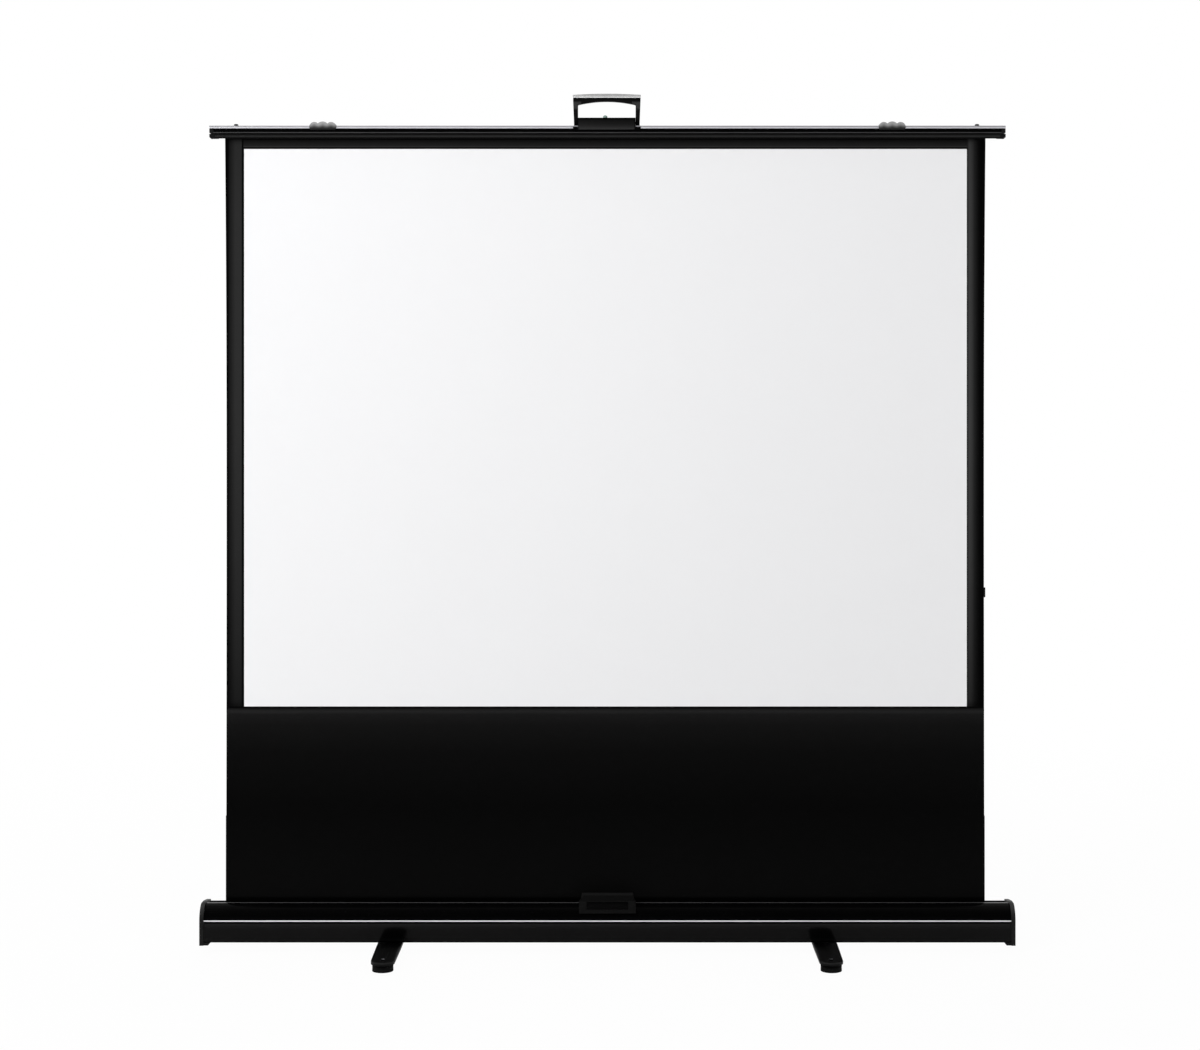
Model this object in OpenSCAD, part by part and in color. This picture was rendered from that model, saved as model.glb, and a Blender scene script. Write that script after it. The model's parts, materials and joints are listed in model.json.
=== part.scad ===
// Pull-up projection screen that rises out of a floor case on folding arms.
// The origin is on the floor under the middle of the case. X is right, Y is back, Z is up.
// The screen is drawn fully raised, with its legs turned out across the case.

/* [Screen] */
// Width of the white picture area
white_w = 1610; // [1400:5:1650]
// Height of the white picture area
white_h = 1240; // [1100:5:1260]
// Width of the dark border down each side
mask_w = 39; // [20:1:45]
// Height of the black cloth below the picture
drop_h = 242; // [150:1:300]
// Height of the seam between the black cloth and its leader, from the floor
leader_top = 299.5; // [200:0.5:320]
// How much wider the leader is than the cloth above it
leader_extra = 1; // [0:0.5:8]
// How far each side of the cloth is drawn in at mid height
waist = 3.5; // [2:0.5:8]
// Thickness of the cloth
cloth_t = 0.6; // [0.4:0.1:1]

/* [Case] */
// How far the case runs past the cloth on each side, up to its end cap
case_side = 47; // [40:1:60]
// Depth of the case, front to back
case_d = 88; // [86:1:100]
// Wall of the lower channel
case_wall = 2; // [1.5:0.1:2.5]
// Thickness of the case floor
floor_t = 2.5; // [2:0.1:3.5]
// Height of the flat lower front
low_front_h = 43; // [42:1:46]
// Radius of the curved front cover
cover_r = 32.7; // [30:0.1:33]
// Wall of the front cover
cover_wall = 2.5; // [2:0.1:3]
// Height of the rear wall
rear_h = 73.5; // [68:0.5:76]
// Height of the bright trim line
trim_h = 3.2; // [3:0.1:6]
// Depth of the dark groove under the trim line
groove_h = 3.1; // [0.5:0.1:4]
// Thickness of an end cap
cap_t = 9; // [5:0.5:14]
// How far an end cap stands proud of the case outline
cap_proud = 2.5; // [1:0.1:4]
// Length of the small foot under an end cap
cap_foot_l = 19; // [12:1:28]
// Height of the small foot under an end cap
cap_foot_h = 6; // [3:0.5:8]

/* [Top bar] */
// How far the top bar runs past the cloth on each side
bar_side = 37.5; // [30:0.5:39]
// Height of the top bar
bar_h = 26.5; // [25:0.5:30]
// Height of the narrow lower part of the bar's front
bar_low_h = 10.5; // [9.5:0.1:11]
// How far the bar's front stands ahead of its lower part
bar_bulge = 19; // [16:0.5:20]
// How much higher the bar's rear wall ends than its front
bar_rear_lift = 5.5; // [0:0.5:8]
// Wall of the bar
bar_wall = 2; // [1.5:0.1:2.5]
// Thickness of the bar's end caps
bar_cap_t = 9; // [5:0.5:12]
// Radius of the bright rounded nose along the bar
nose_r = 3.5; // [2.5:0.1:4]
// How far the bar's end caps hang below its lower edge
bar_cap_drop = 1; // [0:0.1:1.4]
// How far the low part of an end cap of the bar runs out past the bar
bar_cap_lug = 3.5; // [0:0.5:4]
// Distance of a rubber bumper from the middle of the bar
bumper_x = 630; // [400:1:700]
// Height of a bumper above the bar
bumper_h = 8.5; // [6:0.5:16]
// Distance between the lobes of a bumper
lobe_pitch = 18.6; // [16:0.1:20]
// Radius of the middle lobe of a bumper
lobe_r = 15; // [13:0.5:16]
// Radius of the outer lobes of a bumper
side_lobe_r = 11; // [10:0.5:13]

/* [Arms] */
// Distance of each fixed pivot from its end of the case
pivot_inset = 241; // [220:1:260]
// How far the folded elbows stop short of the case's ends
elbow_inset = 41; // [36:1:50]
// Height of an arm tube
arm_h = 16; // [12:0.5:16]
// Thickness of an arm tube, front to back
arm_w = 15; // [13:0.5:15]
// Wall of an arm tube
arm_wall = 1.5; // [1:0.1:2]
// Radius of the pivot pins
pin_r = 4; // [3:0.1:5]
// Radius of the pivot eyes
eye_r = 11; // [9:0.5:11]
// Thickness of the pivot brackets
bracket_t = 3; // [2:0.1:3]
// Wire thickness of the arm springs
spring_wire = 1.6; // [1.2:0.1:1.8]
// Number of turns of each arm spring
spring_turns = 3; // [2:1:3]

/* [Roller] */
// Radius of the roller tube
roller_r = 15.5; // [14:0.5:16]
// Wall of the roller tube
roller_wall = 1.5; // [1:0.1:2]
// Radius of the roller's axle
axle_r = 5; // [4:0.1:6]
// Thickness of the cloth turns left on the raised roller
turns_t = 1.5; // [0.9:0.1:2]
// Length of the spring inside the roller
roller_spring_l = 600; // [300:10:800]

/* [Handle] */
// How far the handle sits to the left of the bar's middle
handle_left = 1.5; // [0:0.5:4]
// Width of the handle over its legs
bail_w = 150; // [140:1:160]
// Width of one leg of the handle
bail_leg_w = 11; // [8:0.5:12]
// How far each leg of the handle is drawn in at its foot
bail_taper = 2; // [0:0.5:3]
// Thickness of the handle, front to back
bail_t = 14; // [12:0.5:14]
// Height of the top of the handle above its hinge
bail_rise = 65; // [50:0.5:70]
// Height of the grip at its middle
grip_h = 17; // [14:0.5:20]
// Rise of the arch under the grip
grip_arch = 7.5; // [3:0.5:8]
// Rise of the arch along the top of the grip
grip_crown = 2.4; // [2:0.1:5]
// Thickness of the bright strip at the middle of the grip
strip_t = 9; // [4:0.5:10]
// Height of the handle block above the bar
block_h = 17.5; // [14:0.5:18]
// Depth of the handle block on top of the bar
block_d = 48; // [40:1:60]
// How far the release button sits to the left of the handle's middle
button_left = 3.5; // [0:0.5:6]
// Radius of the release button
button_r = 5; // [4:0.5:7]
// Height of the button's straight side above the handle block
button_proud = 3; // [3:0.5:8]
// Travel of the release button
button_travel = 2.5; // [1:0.5:3]

/* [Latch] */
// Width of the latch plate at its foot
latch_w = 125.6; // [110:0.2:140]
// Height of the latch plate's top above the case lip
latch_rise = 27; // [27:1:36]
// Height of the latch's foot above the trim line
latch_lift = 16; // [13:0.5:17]
// Height of the straight lower part of the latch
latch_knee = 27; // [24:0.5:30]
// Angle that the latch turns back to hook over the handle block
latch_turn = 5; // [3:0.5:5]

/* [Legs] */
// Distance of each leg from the middle of the case
leg_x = 481; // [400:1:520]
// Distance between the two feet of one leg
foot_span = 360; // [300:2:400]
// Width of a leg under the case
leg_w = 54; // [48:1:60]
// Width of a leg at its rounded tips
leg_tip_w = 51; // [44:1:52]
// Thickness of a leg
leg_t = 7.3; // [6:0.1:10]
// Thickness of the spacer between leg and case
spacer_t = 3.4; // [2:0.1:6]
// Diameter of a levelling disc
disc_d = 45.5; // [38:0.5:47]
// Height of a levelling disc
disc_h = 14; // [10:0.5:18]
// Radius of a levelling screw
stud_r = 4; // [3:0.1:5]

/* [Hidden] */
$fn = 64;
// running clearance of a pin in its bore, and gap between moving faces
run_gap = 0.05;
face_gap = 0.3;
// clearance of the one pivot that is left open
open_gap = 0.3;
disc_gap = 1;
case_z = disc_h + disc_gap + leg_t + face_gap + spacer_t;
sheet_w = white_w + 2 * mask_w;
case_top_front = case_z + low_front_h;
trim_z = case_top_front + groove_h;
cover_z = trim_z + trim_h;
lip_z = cover_z + cover_r;
front_y = -case_d / 2;
back_y = case_d / 2;
lip_y = front_y + cover_r;
bead_r = 2;
rear_z = case_z + rear_h;
half_case = sheet_w / 2 + case_side;
half_bar = sheet_w / 2 + bar_side;
pivot_x = half_case - pivot_inset;
arm_len = half_case + pivot_x - elbow_inset;
cap_out = half_case + cap_t;
floor_z = case_z + floor_t;
// arm planes, front pair and rear pair
cheek_y = 1.7;
plane_y = cheek_y + bracket_t + face_gap;
plane_gap = 3;
mid_y = plane_y + arm_w + plane_gap / 2;
wing_y = plane_y + arm_w;
// cloth and its seams
drop_top = leader_top + drop_h;
white_top = drop_top + white_h;
bar_z = white_top + 23;
hem_top = bar_z + bar_low_h;
roller_y = front_y + 23.8;
roller_z = case_z + 32;
roll_r = roller_r + turns_t;
cloth_y = roller_y + roll_r + 0.1;
// the cloth regains a fifth of its waist at its foot
foot_gain = 0.2;
roll_w = sheet_w - 2 * waist * (1 - foot_gain) + leader_extra;
tube_w = roll_w + 14;
// pivots
line_gap = 0.5;
plate_t = 2.5;
base_z = floor_z + plate_t + 1 + arm_h + line_gap;
top_z = bar_z - 1;
rise = (top_z - base_z) / 2;
lift = asin(rise / arm_len);
elbow_z = base_z + rise;
elbow_x = arm_len * cos(lift) - pivot_x;
tube_start = eye_r + 5;
plug_l = 36;
plug_gap = 0.1;
// bar profile heights from its bottom
bar_low_y = lip_y + bead_r + 1.8;
bar_front_y = bar_low_y - bar_bulge;
bar_top_t = bar_h - 2 * nose_r;
skin_t = 1.5;
bar_top = bar_z + bar_h;
// height of the lowered bar, whose bulge then clears the lip, and how far it comes down
bar_down_z = rear_z + 6 - bar_rear_lift;
fold_drop = bar_z - bar_down_z;
ceil_z = bar_top - skin_t - bar_wall - 0.5;
// handle
hinge_z = bar_top + 8;
block_w = bail_w - 2 * (bail_leg_w + face_gap);
block_front = bar_front_y + 0.5;
block_z = bar_top + block_h;
skirt_y = bar_front_y - 3.5;
skirt_z = bar_top - 9;
skirt_top = bar_top + 1.5;
hinge_y = 0;
hinge_r = 3;
button_y = block_front + 10;
button_seat = 6;
button_z = block_z - button_seat - button_travel - face_gap;
// latch
latch_front_y = front_y - 3.2;
latch_foot = cover_z + latch_lift;
latch_knee_z = latch_foot + latch_knee;
latch_top = lip_z + latch_rise;
latch_axis_y = latch_front_y + 4.3;
latch_axis_z = latch_foot + 3.5;
latch_pin_r = 1.5;
latch_tip_y = skirt_y - 8;
latch_back_y = skirt_y - 4.2;
nose_y = skirt_y - 1;
nose_z = skirt_top - fold_drop + 2;
ear_x = 23;
ear_l = 6;
ear_r = 3;
ear_reach = 12;
badge_w = 92;
badge_h = 17;
badge_t = 1;
badge_z = latch_knee_z - badge_h - 1.5;
// legs and feet
leg_z = disc_h + disc_gap;
foot_y = foot_span / 2;
bolt_r = 5;
stud_top = leg_z + leg_t + 2.6;

// a box given by its lowest and highest corners
module span(x0, x1, y0, y1, z0, z1) {
    translate([x0, y0, z0]) cube([x1 - x0, y1 - y0, z1 - z0]);
}

// a profile drawn in Y and Z, carried along X
module along_x(x0, x1) {
    translate([x0, 0, 0]) rotate([90, 0, 90]) linear_extrude(x1 - x0) children();
}

// a profile drawn in X and Z, carried along Y
module along_y(y0, y1) {
    translate([0, y1, 0]) rotate([90, 0, 0]) linear_extrude(y1 - y0) children();
}

// a round bar or bore along Y
module pin_y(r, y0, y1) {
    translate([0, y1, 0]) rotate([90, 0, 0]) cylinder(r = r, h = y1 - y0);
}

// the rear pair of arms is the front pair turned half round
module rear_pair() {
    translate([0, 2 * mid_y, 0]) rotate([0, 0, 180]) children();
}

module mirror_x() {
    mirror([1, 0, 0]) children();
}

// Case

module channel_profile() {
    r = 3;
    difference() {
        union() {
            translate([front_y + r, case_z]) square([case_d - 2 * r, rear_h]);
            translate([front_y, case_z + r]) square([case_d, rear_h - r]);
            translate([front_y + r, case_z + r]) circle(r);
            translate([back_y - r, case_z + r]) circle(r);
        }
        translate([front_y + case_wall, floor_z])
            square([case_d - 2 * case_wall, rear_h]);
        translate([front_y - 1, case_top_front])
            square([case_wall + 2, rear_h]);
    }
}

module base_channel() {
    color("#1c1c1e")
        difference() {
            along_x(-half_case, half_case) channel_profile();
            for (s = [-1, 1])
                translate([s * leg_x, 0, case_z - 1])
                    cylinder(r = bolt_r + 0.2, h = floor_t + 2);
        }
}

module cover_profile() {
    difference() {
        intersection() {
            translate([lip_y, cover_z]) circle(r = cover_r, $fn = 128);
            translate([front_y - 1, cover_z]) square([cover_r + 1, cover_r + 1]);
        }
        translate([lip_y, cover_z]) circle(r = cover_r - cover_wall, $fn = 128);
    }
    translate([lip_y, lip_z - bead_r]) circle(bead_r);
    translate([front_y + case_wall, case_top_front - 6])
        square([1.2, cover_z - case_top_front + 7]);
}

module front_cover() {
    color("#0b0b0d") along_x(-half_case, half_case) cover_profile();
}

module trim_strip() {
    r = trim_h / 2;
    color("#c6c5cc")
        along_x(-half_case, half_case)
            intersection() {
                union() {
                    translate([front_y + r - 0.6, trim_z + r]) circle(r);
                    translate([front_y + r - 0.6, trim_z]) square([case_wall, trim_h]);
                }
                translate([front_y - 1, trim_z]) square([case_wall + 1, trim_h]);
            }
}

module cap_profile() {
    top_back = rear_z + 3;
    intersection() {
        translate([lip_y, cover_z]) circle(r = cover_r + cap_proud, $fn = 128);
        translate([front_y - cap_proud, cover_z]) square([cover_r + cap_proud, 60]);
    }
    polygon([
        [front_y - cap_proud, case_z - cap_foot_h], [front_y - cap_proud, cover_z + 1],
        [lip_y, cover_z + 1], [lip_y, lip_z + cap_proud], [back_y + cap_proud, top_back],
        [back_y + cap_proud, case_z - cap_foot_h]
    ]);
}

// the cap on the left end; the right one is its mirror image
module end_cap() {
    edge = 2;
    along_y(front_y, back_y)
        polygon([
            [-cap_out, case_z - cap_foot_h], [cap_foot_l - cap_out, case_z - cap_foot_h],
            [cap_foot_l + 5 - cap_out, case_z], [-cap_out, case_z]
        ]);
    difference() {
        along_x(-cap_out, -half_case) cap_profile();
        // outer top edge cut at a slant
        translate([-cap_out, 0, lip_z + cap_proud - edge]) rotate([0, -45, 0])
            translate([-20, front_y - 10, 0]) cube([40, case_d + 20, 20]);
    }
}

module end_cap_left() {
    color("#151517") end_cap();
}

module end_cap_right() {
    color("#151517") mirror_x() end_cap();
}

// Latch: a fixed base with its pin, and a hooked plate that turns on the pin

module latch_base() {
    color("#2a2a2c")
        difference() {
            union() {
                for (s = [-1, 1])
                    along_x(s * ear_x - ear_l / 2, s * ear_x + ear_l / 2) {
                        translate([latch_axis_y, latch_axis_z]) circle(ear_r);
                        translate([latch_axis_y, latch_axis_z - ear_r]) square([ear_reach, 2 * ear_r]);
                    }
                along_x(-latch_w / 2 + 6, latch_w / 2 - 6)
                    translate([latch_axis_y, latch_axis_z]) circle(latch_pin_r);
            }
            along_x(-half_case, half_case)
                translate([lip_y, cover_z]) circle(r = cover_r, $fn = 128);
        }
}

module latch_shape() {
    difference() {
        polygon([
            [latch_front_y, latch_foot], [latch_front_y, latch_knee_z],
            [latch_tip_y, latch_top - 2], [latch_tip_y + 1, latch_top],
            [latch_back_y, latch_top], [latch_back_y, nose_z + 4], [nose_y, nose_z + 2.5],
            [nose_y, nose_z], [latch_back_y, nose_z], [latch_back_y, lip_z],
            [lip_y, lip_z], [lip_y, latch_foot]
        ]);
        // room for the cover in the upright and in the hooked place
        for (a = [0, latch_turn / 2, latch_turn])
            translate([latch_axis_y, latch_axis_z]) rotate(a)
                translate([lip_y - latch_axis_y, cover_z - latch_axis_z])
                    circle(r = cover_r + face_gap, $fn = 128);
    }
}

// outline of the plain plate, grown by a gap
module badge_profile(gap) {
    translate([latch_front_y - gap, badge_z - gap]) square([badge_t + 2 * gap, badge_h + 2 * gap]);
}

module latch_housing() {
    taper = 7;
    step = 3;
    color("#202022")
        difference() {
            intersection() {
                along_x(-latch_w / 2, latch_w / 2) latch_shape();
                along_y(front_y - 20, 20)
                    polygon([
                        [-latch_w / 2, latch_foot], [latch_w / 2, latch_foot],
                        [latch_w / 2, latch_knee_z], [latch_w / 2 - step, latch_knee_z + 1],
                        [latch_w / 2 - taper, latch_top], [taper - latch_w / 2, latch_top],
                        [step - latch_w / 2, latch_knee_z + 1], [-latch_w / 2, latch_knee_z]
                    ]);
            }
            along_x(-latch_w, latch_w)
                translate([latch_axis_y, latch_axis_z]) circle(latch_pin_r + run_gap);
            for (s = [-1, 1])
                span(s * ear_x - ear_l / 2 - face_gap, s * ear_x + ear_l / 2 + face_gap,
                    latch_axis_y - ear_r - face_gap, lip_y,
                    latch_foot - 1, latch_axis_z + ear_r + face_gap + ear_reach * sin(latch_turn));
            // shallow seat for the plain plate
            along_x(-badge_w / 2 - 0.2, badge_w / 2 + 0.2)
                translate([latch_front_y - 2, badge_z - 0.2])
                    square([2 + badge_t, badge_h + 0.4]);
        }
}

// plain plate in the front of the latch, with nothing on it
module badge_plate() {
    color("#0f0f11") along_x(-badge_w / 2, badge_w / 2) badge_profile(0);
}

// Roller

module roller_bracket() {
    out = half_case - 13;
    difference() {
        union() {
            span(-out, 3 - out, roller_y - 17, roller_y + 17, floor_z, roller_z + 16);
            span(-out, 22 - out, roller_y - 17, roller_y + 17, floor_z, floor_z + plate_t);
        }
        along_x(-out - 5, 10 - out)
            translate([roller_y, roller_z]) circle(axle_r + run_gap);
    }
}

module roller_bracket_left() {
    color("#8b8d90") roller_bracket();
}

module roller_bracket_right() {
    color("#8b8d90") mirror_x() roller_bracket();
}

module roller_axle() {
    color("#9a9ca0")
        along_x(12 - half_case, half_case - 12) translate([roller_y, roller_z]) circle(axle_r);
}

module roller_tube() {
    color("#b4b6ba")
        along_x(-tube_w / 2, tube_w / 2)
            translate([roller_y, roller_z])
                difference() {
                    circle(roller_r);
                    circle(roller_r - roller_wall);
                }
}

module roller_plug() {
    translate([0, roller_y, roller_z]) rotate([0, 90, 0])
        difference() {
            union() {
                translate([0, 0, -tube_w / 2]) cylinder(r = roller_r - roller_wall, h = 20);
                translate([0, 0, -tube_w / 2 - 2]) cylinder(r = roll_r, h = 2);
            }
            translate([0, 0, -tube_w / 2 - 3]) cylinder(r = axle_r + run_gap, h = 24);
        }
}

module roller_plug_left() {
    color("#303034") roller_plug();
}

module roller_plug_right() {
    color("#303034") mirror_x() roller_plug();
}

// the closely wound spring in the roller, drawn as a sleeve against the left plug
module roller_spring() {
    x0 = 20 - tube_w / 2;
    color("#70757c")
        along_x(x0, x0 + roller_spring_l)
            translate([roller_y, roller_z])
                difference() {
                    circle(axle_r + 3.4);
                    circle(axle_r + 0.4);
                }
}

module cloth_turns() {
    color("#161618")
        along_x(-roll_w / 2, roll_w / 2)
            translate([roller_y, roller_z])
                difference() {
                    circle(roll_r);
                    circle(roller_r);
                }
}

// Cloth

// a flat sheet of cloth whose sides are drawn in towards the middle of its height
module cloth(w, z0, z1) {
    mid = (leader_top + hem_top) / 2;
    half = (hem_top - leader_top) / 2;
    steps = 10;
    side = [for (i = [0:steps])
        let (z = z0 + (z1 - z0) * i / steps)
            [w / 2 - waist * (1 - (z > mid ? 1 : foot_gain) * pow((z - mid) / half, 2)), z]];
    along_y(cloth_y, cloth_y + cloth_t)
        polygon(concat(side, [for (i = [steps:-1:0]) [-side[i][0], side[i][1]]]));
}

module screen_sheet() {
    color("#f4f4f2") cloth(sheet_w, drop_top, hem_top);
}

module drop_cloth() {
    color("#141415") cloth(sheet_w, leader_top, drop_top);
}

module leader_cloth() {
    color("#101011")
        span(-roll_w / 2, roll_w / 2, cloth_y, cloth_y + cloth_t, roller_z, leader_top);
}

// Arm parts, drawn for the front pair in their own place

// a point on the lower arm: its pivot at the origin and its line along X
module on_lower_arm() {
    translate([-pivot_x, 0, base_z]) rotate([0, -lift, 0]) children();
}

// a point on the upper arm: the elbow at the origin and its line against X
module on_upper_arm() {
    translate([elbow_x, 0, elbow_z]) rotate([0, lift, 0]) children();
}

module arm_tube(z0) {
    difference() {
        span(tube_start, arm_len - tube_start, plane_y, wing_y, z0, z0 + arm_h);
        span(tube_start - 1, arm_len, plane_y + arm_wall, wing_y - arm_wall,
            z0 + arm_wall, z0 + arm_h - arm_wall);
    }
}

// the plug of an end fitting inside its tube
module arm_plug(z0) {
    t = arm_wall + plug_gap;
    span(tube_start - 0.01, tube_start + plug_l, plane_y + t, wing_y - t, z0 + t, z0 + arm_h - t);
}

// fork at an end of a lower arm, its tube below the line of pivots
module fork() {
    z0 = -line_gap - arm_h;
    cheek = 3;
    difference() {
        union() {
            for (y = [plane_y, wing_y - cheek]) {
                pin_y(eye_r, y, y + cheek);
                span(0, tube_start, y, y + cheek, z0, -line_gap);
            }
            span(eye_r + 1.5, tube_start, plane_y, wing_y, z0, -line_gap);
            arm_plug(z0);
        }
        pin_y(pin_r + run_gap, plane_y - 1, wing_y + 1);
    }
}

// tongue at the elbow end of an upper arm, its tube above the line of pivots
module tongue() {
    inset = 3 + face_gap;
    difference() {
        union() {
            pin_y(eye_r, plane_y + inset, wing_y - inset);
            span(0, tube_start, plane_y + inset, wing_y - inset, line_gap, line_gap + arm_h);
            span(tube_start - 2, tube_start, plane_y, wing_y, line_gap, line_gap + arm_h);
            arm_plug(line_gap);
        }
        pin_y(pin_r + run_gap, plane_y, wing_y);
    }
}

// eye at the top end of an upper arm, bored to a given radius
module eye(bore) {
    difference() {
        union() {
            pin_y(eye_r, plane_y, wing_y);
            span(0, tube_start, plane_y, wing_y, line_gap, line_gap + arm_h);
            arm_plug(line_gap);
        }
        pin_y(bore, plane_y - 1, wing_y + 1);
    }
}

module lower_tube() {
    on_lower_arm() arm_tube(-line_gap - arm_h);
}

module base_fork() {
    on_lower_arm() fork();
}

module elbow_fork() {
    on_lower_arm() translate([arm_len, 0, 0]) mirror_x() fork();
}

module elbow_pin() {
    on_lower_arm() translate([arm_len, 0, 0]) pin_y(pin_r, plane_y, wing_y);
}

module upper_tube() {
    on_upper_arm() mirror_x() arm_tube(line_gap);
}

module elbow_tongue() {
    on_upper_arm() mirror_x() tongue();
}

module top_eye(bore) {
    on_upper_arm() translate([-arm_len, 0, 0]) eye(bore);
}

// bracket with its stud, standing on the case floor
module base_bracket() {
    translate([-pivot_x, 0, base_z]) {
        pin_y(eye_r, cheek_y, cheek_y + bracket_t);
        span(-eye_r, eye_r, cheek_y, cheek_y + bracket_t, floor_z - base_z, 0);
        span(-30, 30, cheek_y, wing_y - face_gap, floor_z - base_z, floor_z + plate_t - base_z);
        pin_y(pin_r, cheek_y, wing_y - face_gap);
    }
}

// bracket with its stud, hanging from the top of the bar
module top_bracket() {
    up = ceil_z - top_z;
    translate([-pivot_x, 0, top_z]) {
        pin_y(eye_r, cheek_y, cheek_y + bracket_t);
        span(-eye_r, eye_r, cheek_y, cheek_y + bracket_t, 0, up);
        span(-25, 25, cheek_y, wing_y - face_gap, up - plate_t, up);
        pin_y(pin_r, cheek_y, wing_y - face_gap);
    }
}

// one unbroken tube of wire along Y, as a helix of rings
module coil(mean_r, wire_r, y0, y1, turns) {
    per_turn = 16;
    sides = 6;
    steps = turns * per_turn;
    pitch = (y1 - y0) / turns;
    slope = atan2(pitch, 2 * PI * mean_r);
    rings = [
        for (i = [0:steps]) let (a = 360 * i / per_turn, y = y0 + (y1 - y0) * i / steps)
            for (j = [0:sides - 1]) let (b = 360 * j / sides,
                out = wire_r * cos(b), up = wire_r * sin(b)) [
                (mean_r + out) * cos(a) + up * sin(slope) * sin(a),
                y + up * cos(slope),
                (mean_r + out) * sin(a) - up * sin(slope) * cos(a)
            ]
    ];
    last = steps * sides;
    faces = concat(
        [for (i = [0:steps - 1]) for (j = [0:sides - 1])
            [i * sides + j, i * sides + (j + 1) % sides, (i + 1) * sides + j]],
        [for (i = [0:steps - 1]) for (j = [0:sides - 1])
            [i * sides + (j + 1) % sides, (i + 1) * sides + (j + 1) % sides, (i + 1) * sides + j]],
        [for (j = [1:sides - 2]) [0, j + 1, j]],
        [for (j = [1:sides - 2]) [last, last + j, last + j + 1]]
    );
    polyhedron(points = rings, faces = faces);
}

module base_spring() {
    r = spring_wire / 2;
    y0 = plane_y + 3 + face_gap + r;
    y1 = wing_y - 3 - face_gap - r;
    translate([-pivot_x, 0, base_z]) coil(pin_r + 0.3 + r, r, y0, y1, spring_turns);
}

module base_bracket_a() { color("#8b8d90") base_bracket(); }
module base_bracket_b() { color("#8b8d90") rear_pair() base_bracket(); }
module base_spring_a() { color("#6d7278") base_spring(); }
module base_spring_b() { color("#6d7278") rear_pair() base_spring(); }
module lower_tube_a() { color("#26272a") lower_tube(); }
module lower_tube_b() { color("#26272a") rear_pair() lower_tube(); }
module base_fork_a() { color("#55585c") base_fork(); }
module base_fork_b() { color("#55585c") rear_pair() base_fork(); }
module elbow_fork_a() { color("#55585c") elbow_fork(); }
module elbow_fork_b() { color("#55585c") rear_pair() elbow_fork(); }
module elbow_pin_a() { color("#a9abaf") elbow_pin(); }
module elbow_pin_b() { color("#a9abaf") rear_pair() elbow_pin(); }
module upper_tube_a() { color("#26272a") upper_tube(); }
module upper_tube_b() { color("#26272a") rear_pair() upper_tube(); }
module elbow_tongue_a() { color("#55585c") elbow_tongue(); }
module elbow_tongue_b() { color("#55585c") rear_pair() elbow_tongue(); }
module top_eye_a() { color("#55585c") top_eye(pin_r + run_gap); }
module top_eye_b() { color("#55585c") rear_pair() top_eye(pin_r + open_gap); }
module top_bracket_a() { color("#8b8d90") top_bracket(); }
module top_bracket_b() { color("#8b8d90") rear_pair() top_bracket(); }

// Top bar

module bar_channel() {
    w = bar_wall;
    front = bar_front_y + w;
    top = bar_h - skin_t;
    color("#18181a")
        along_x(bar_cap_t - half_bar, half_bar - bar_cap_t)
            translate([0, bar_z])
                polygon([
                    [bar_low_y, 0], [bar_low_y, bar_low_h], [bar_front_y + 1, bar_low_h],
                    [bar_front_y, bar_low_h + 1], [bar_front_y, bar_top_t], [front, bar_top_t],
                    [front, top], [back_y, top], [back_y, bar_rear_lift],
                    [back_y - w, bar_rear_lift],
                    [back_y - w, ceil_z - bar_z], [front + w, ceil_z - bar_z],
                    [front + w, bar_top_t - w], [front, bar_top_t - w],
                    [front, bar_low_h + w], [bar_low_y + w, bar_low_h + w], [bar_low_y + w, 0]
                ]);
}

module bar_top_strip() {
    cy = bar_front_y + bar_wall;
    color("#cdccd4")
        along_x(-half_bar, half_bar) {
            translate([cy, bar_z + bar_h - skin_t]) square([back_y - cy, skin_t]);
            intersection() {
                translate([cy, bar_top - nose_r]) circle(nose_r);
                translate([cy - nose_r, bar_top - 2 * nose_r]) square([nose_r, 2 * nose_r]);
            }
        }
}

// the cap on the left end of the bar; the right one is its mirror image
module bar_cap() {
    along_x(-half_bar, bar_cap_t - half_bar)
        translate([0, bar_z])
            polygon([
                [bar_low_y, -bar_cap_drop], [bar_low_y, bar_low_h], [bar_front_y + 1, bar_low_h],
                [bar_front_y, bar_low_h + 1], [bar_front_y, bar_top_t],
                [bar_front_y + bar_wall, bar_top_t], [bar_front_y + bar_wall, bar_h - skin_t],
                [back_y, bar_h - skin_t], [back_y, bar_rear_lift - bar_cap_drop]
            ]);
    // lug on the outer side of the cap, below the bulge
    along_y(bar_low_y, bar_low_y + 16)
        polygon([
            [1 - half_bar, bar_z], [-half_bar, bar_z], [-half_bar - bar_cap_lug, bar_z + 3],
            [-half_bar - bar_cap_lug, bar_z + bar_low_h], [1 - half_bar, bar_z + bar_low_h]
        ]);
}

module bar_cap_left() {
    color("#101012") bar_cap();
}

module bar_cap_right() {
    color("#101012") mirror_x() bar_cap();
}

// strip that holds the top of the cloth against the bar
module hem_strip() {
    color("#2c2c2e")
        span(-sheet_w / 2, sheet_w / 2, bar_low_y + bar_wall, cloth_y, bar_z + 2, bar_z + bar_low_h);
}

// rubber bumper with three lobes over the front edge of the bar
module bumper() {
    front = bar_front_y + bar_wall - nose_r;
    top = bar_top + bumper_h;
    difference() {
        intersection() {
            union() {
                translate([0, 0, top - lobe_r]) pin_y(lobe_r, front - 3.5, -4);
                for (s = [-1, 1])
                    translate([s * lobe_pitch, 0, top - 1 - side_lobe_r])
                        pin_y(side_lobe_r, front - 2.8, -5);
            }
            span(-60, 60, -60, 60, bar_top - 2 * nose_r - 3, top + 1);
        }
        span(-60, 60, front - face_gap, 60, bar_z, bar_top);
    }
}

module bumper_left() {
    color("#8a8a8a") translate([-bumper_x, 0, 0]) bumper();
}

module bumper_right() {
    color("#8a8a8a") translate([bumper_x, 0, 0]) bumper();
}

// Handle

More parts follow.
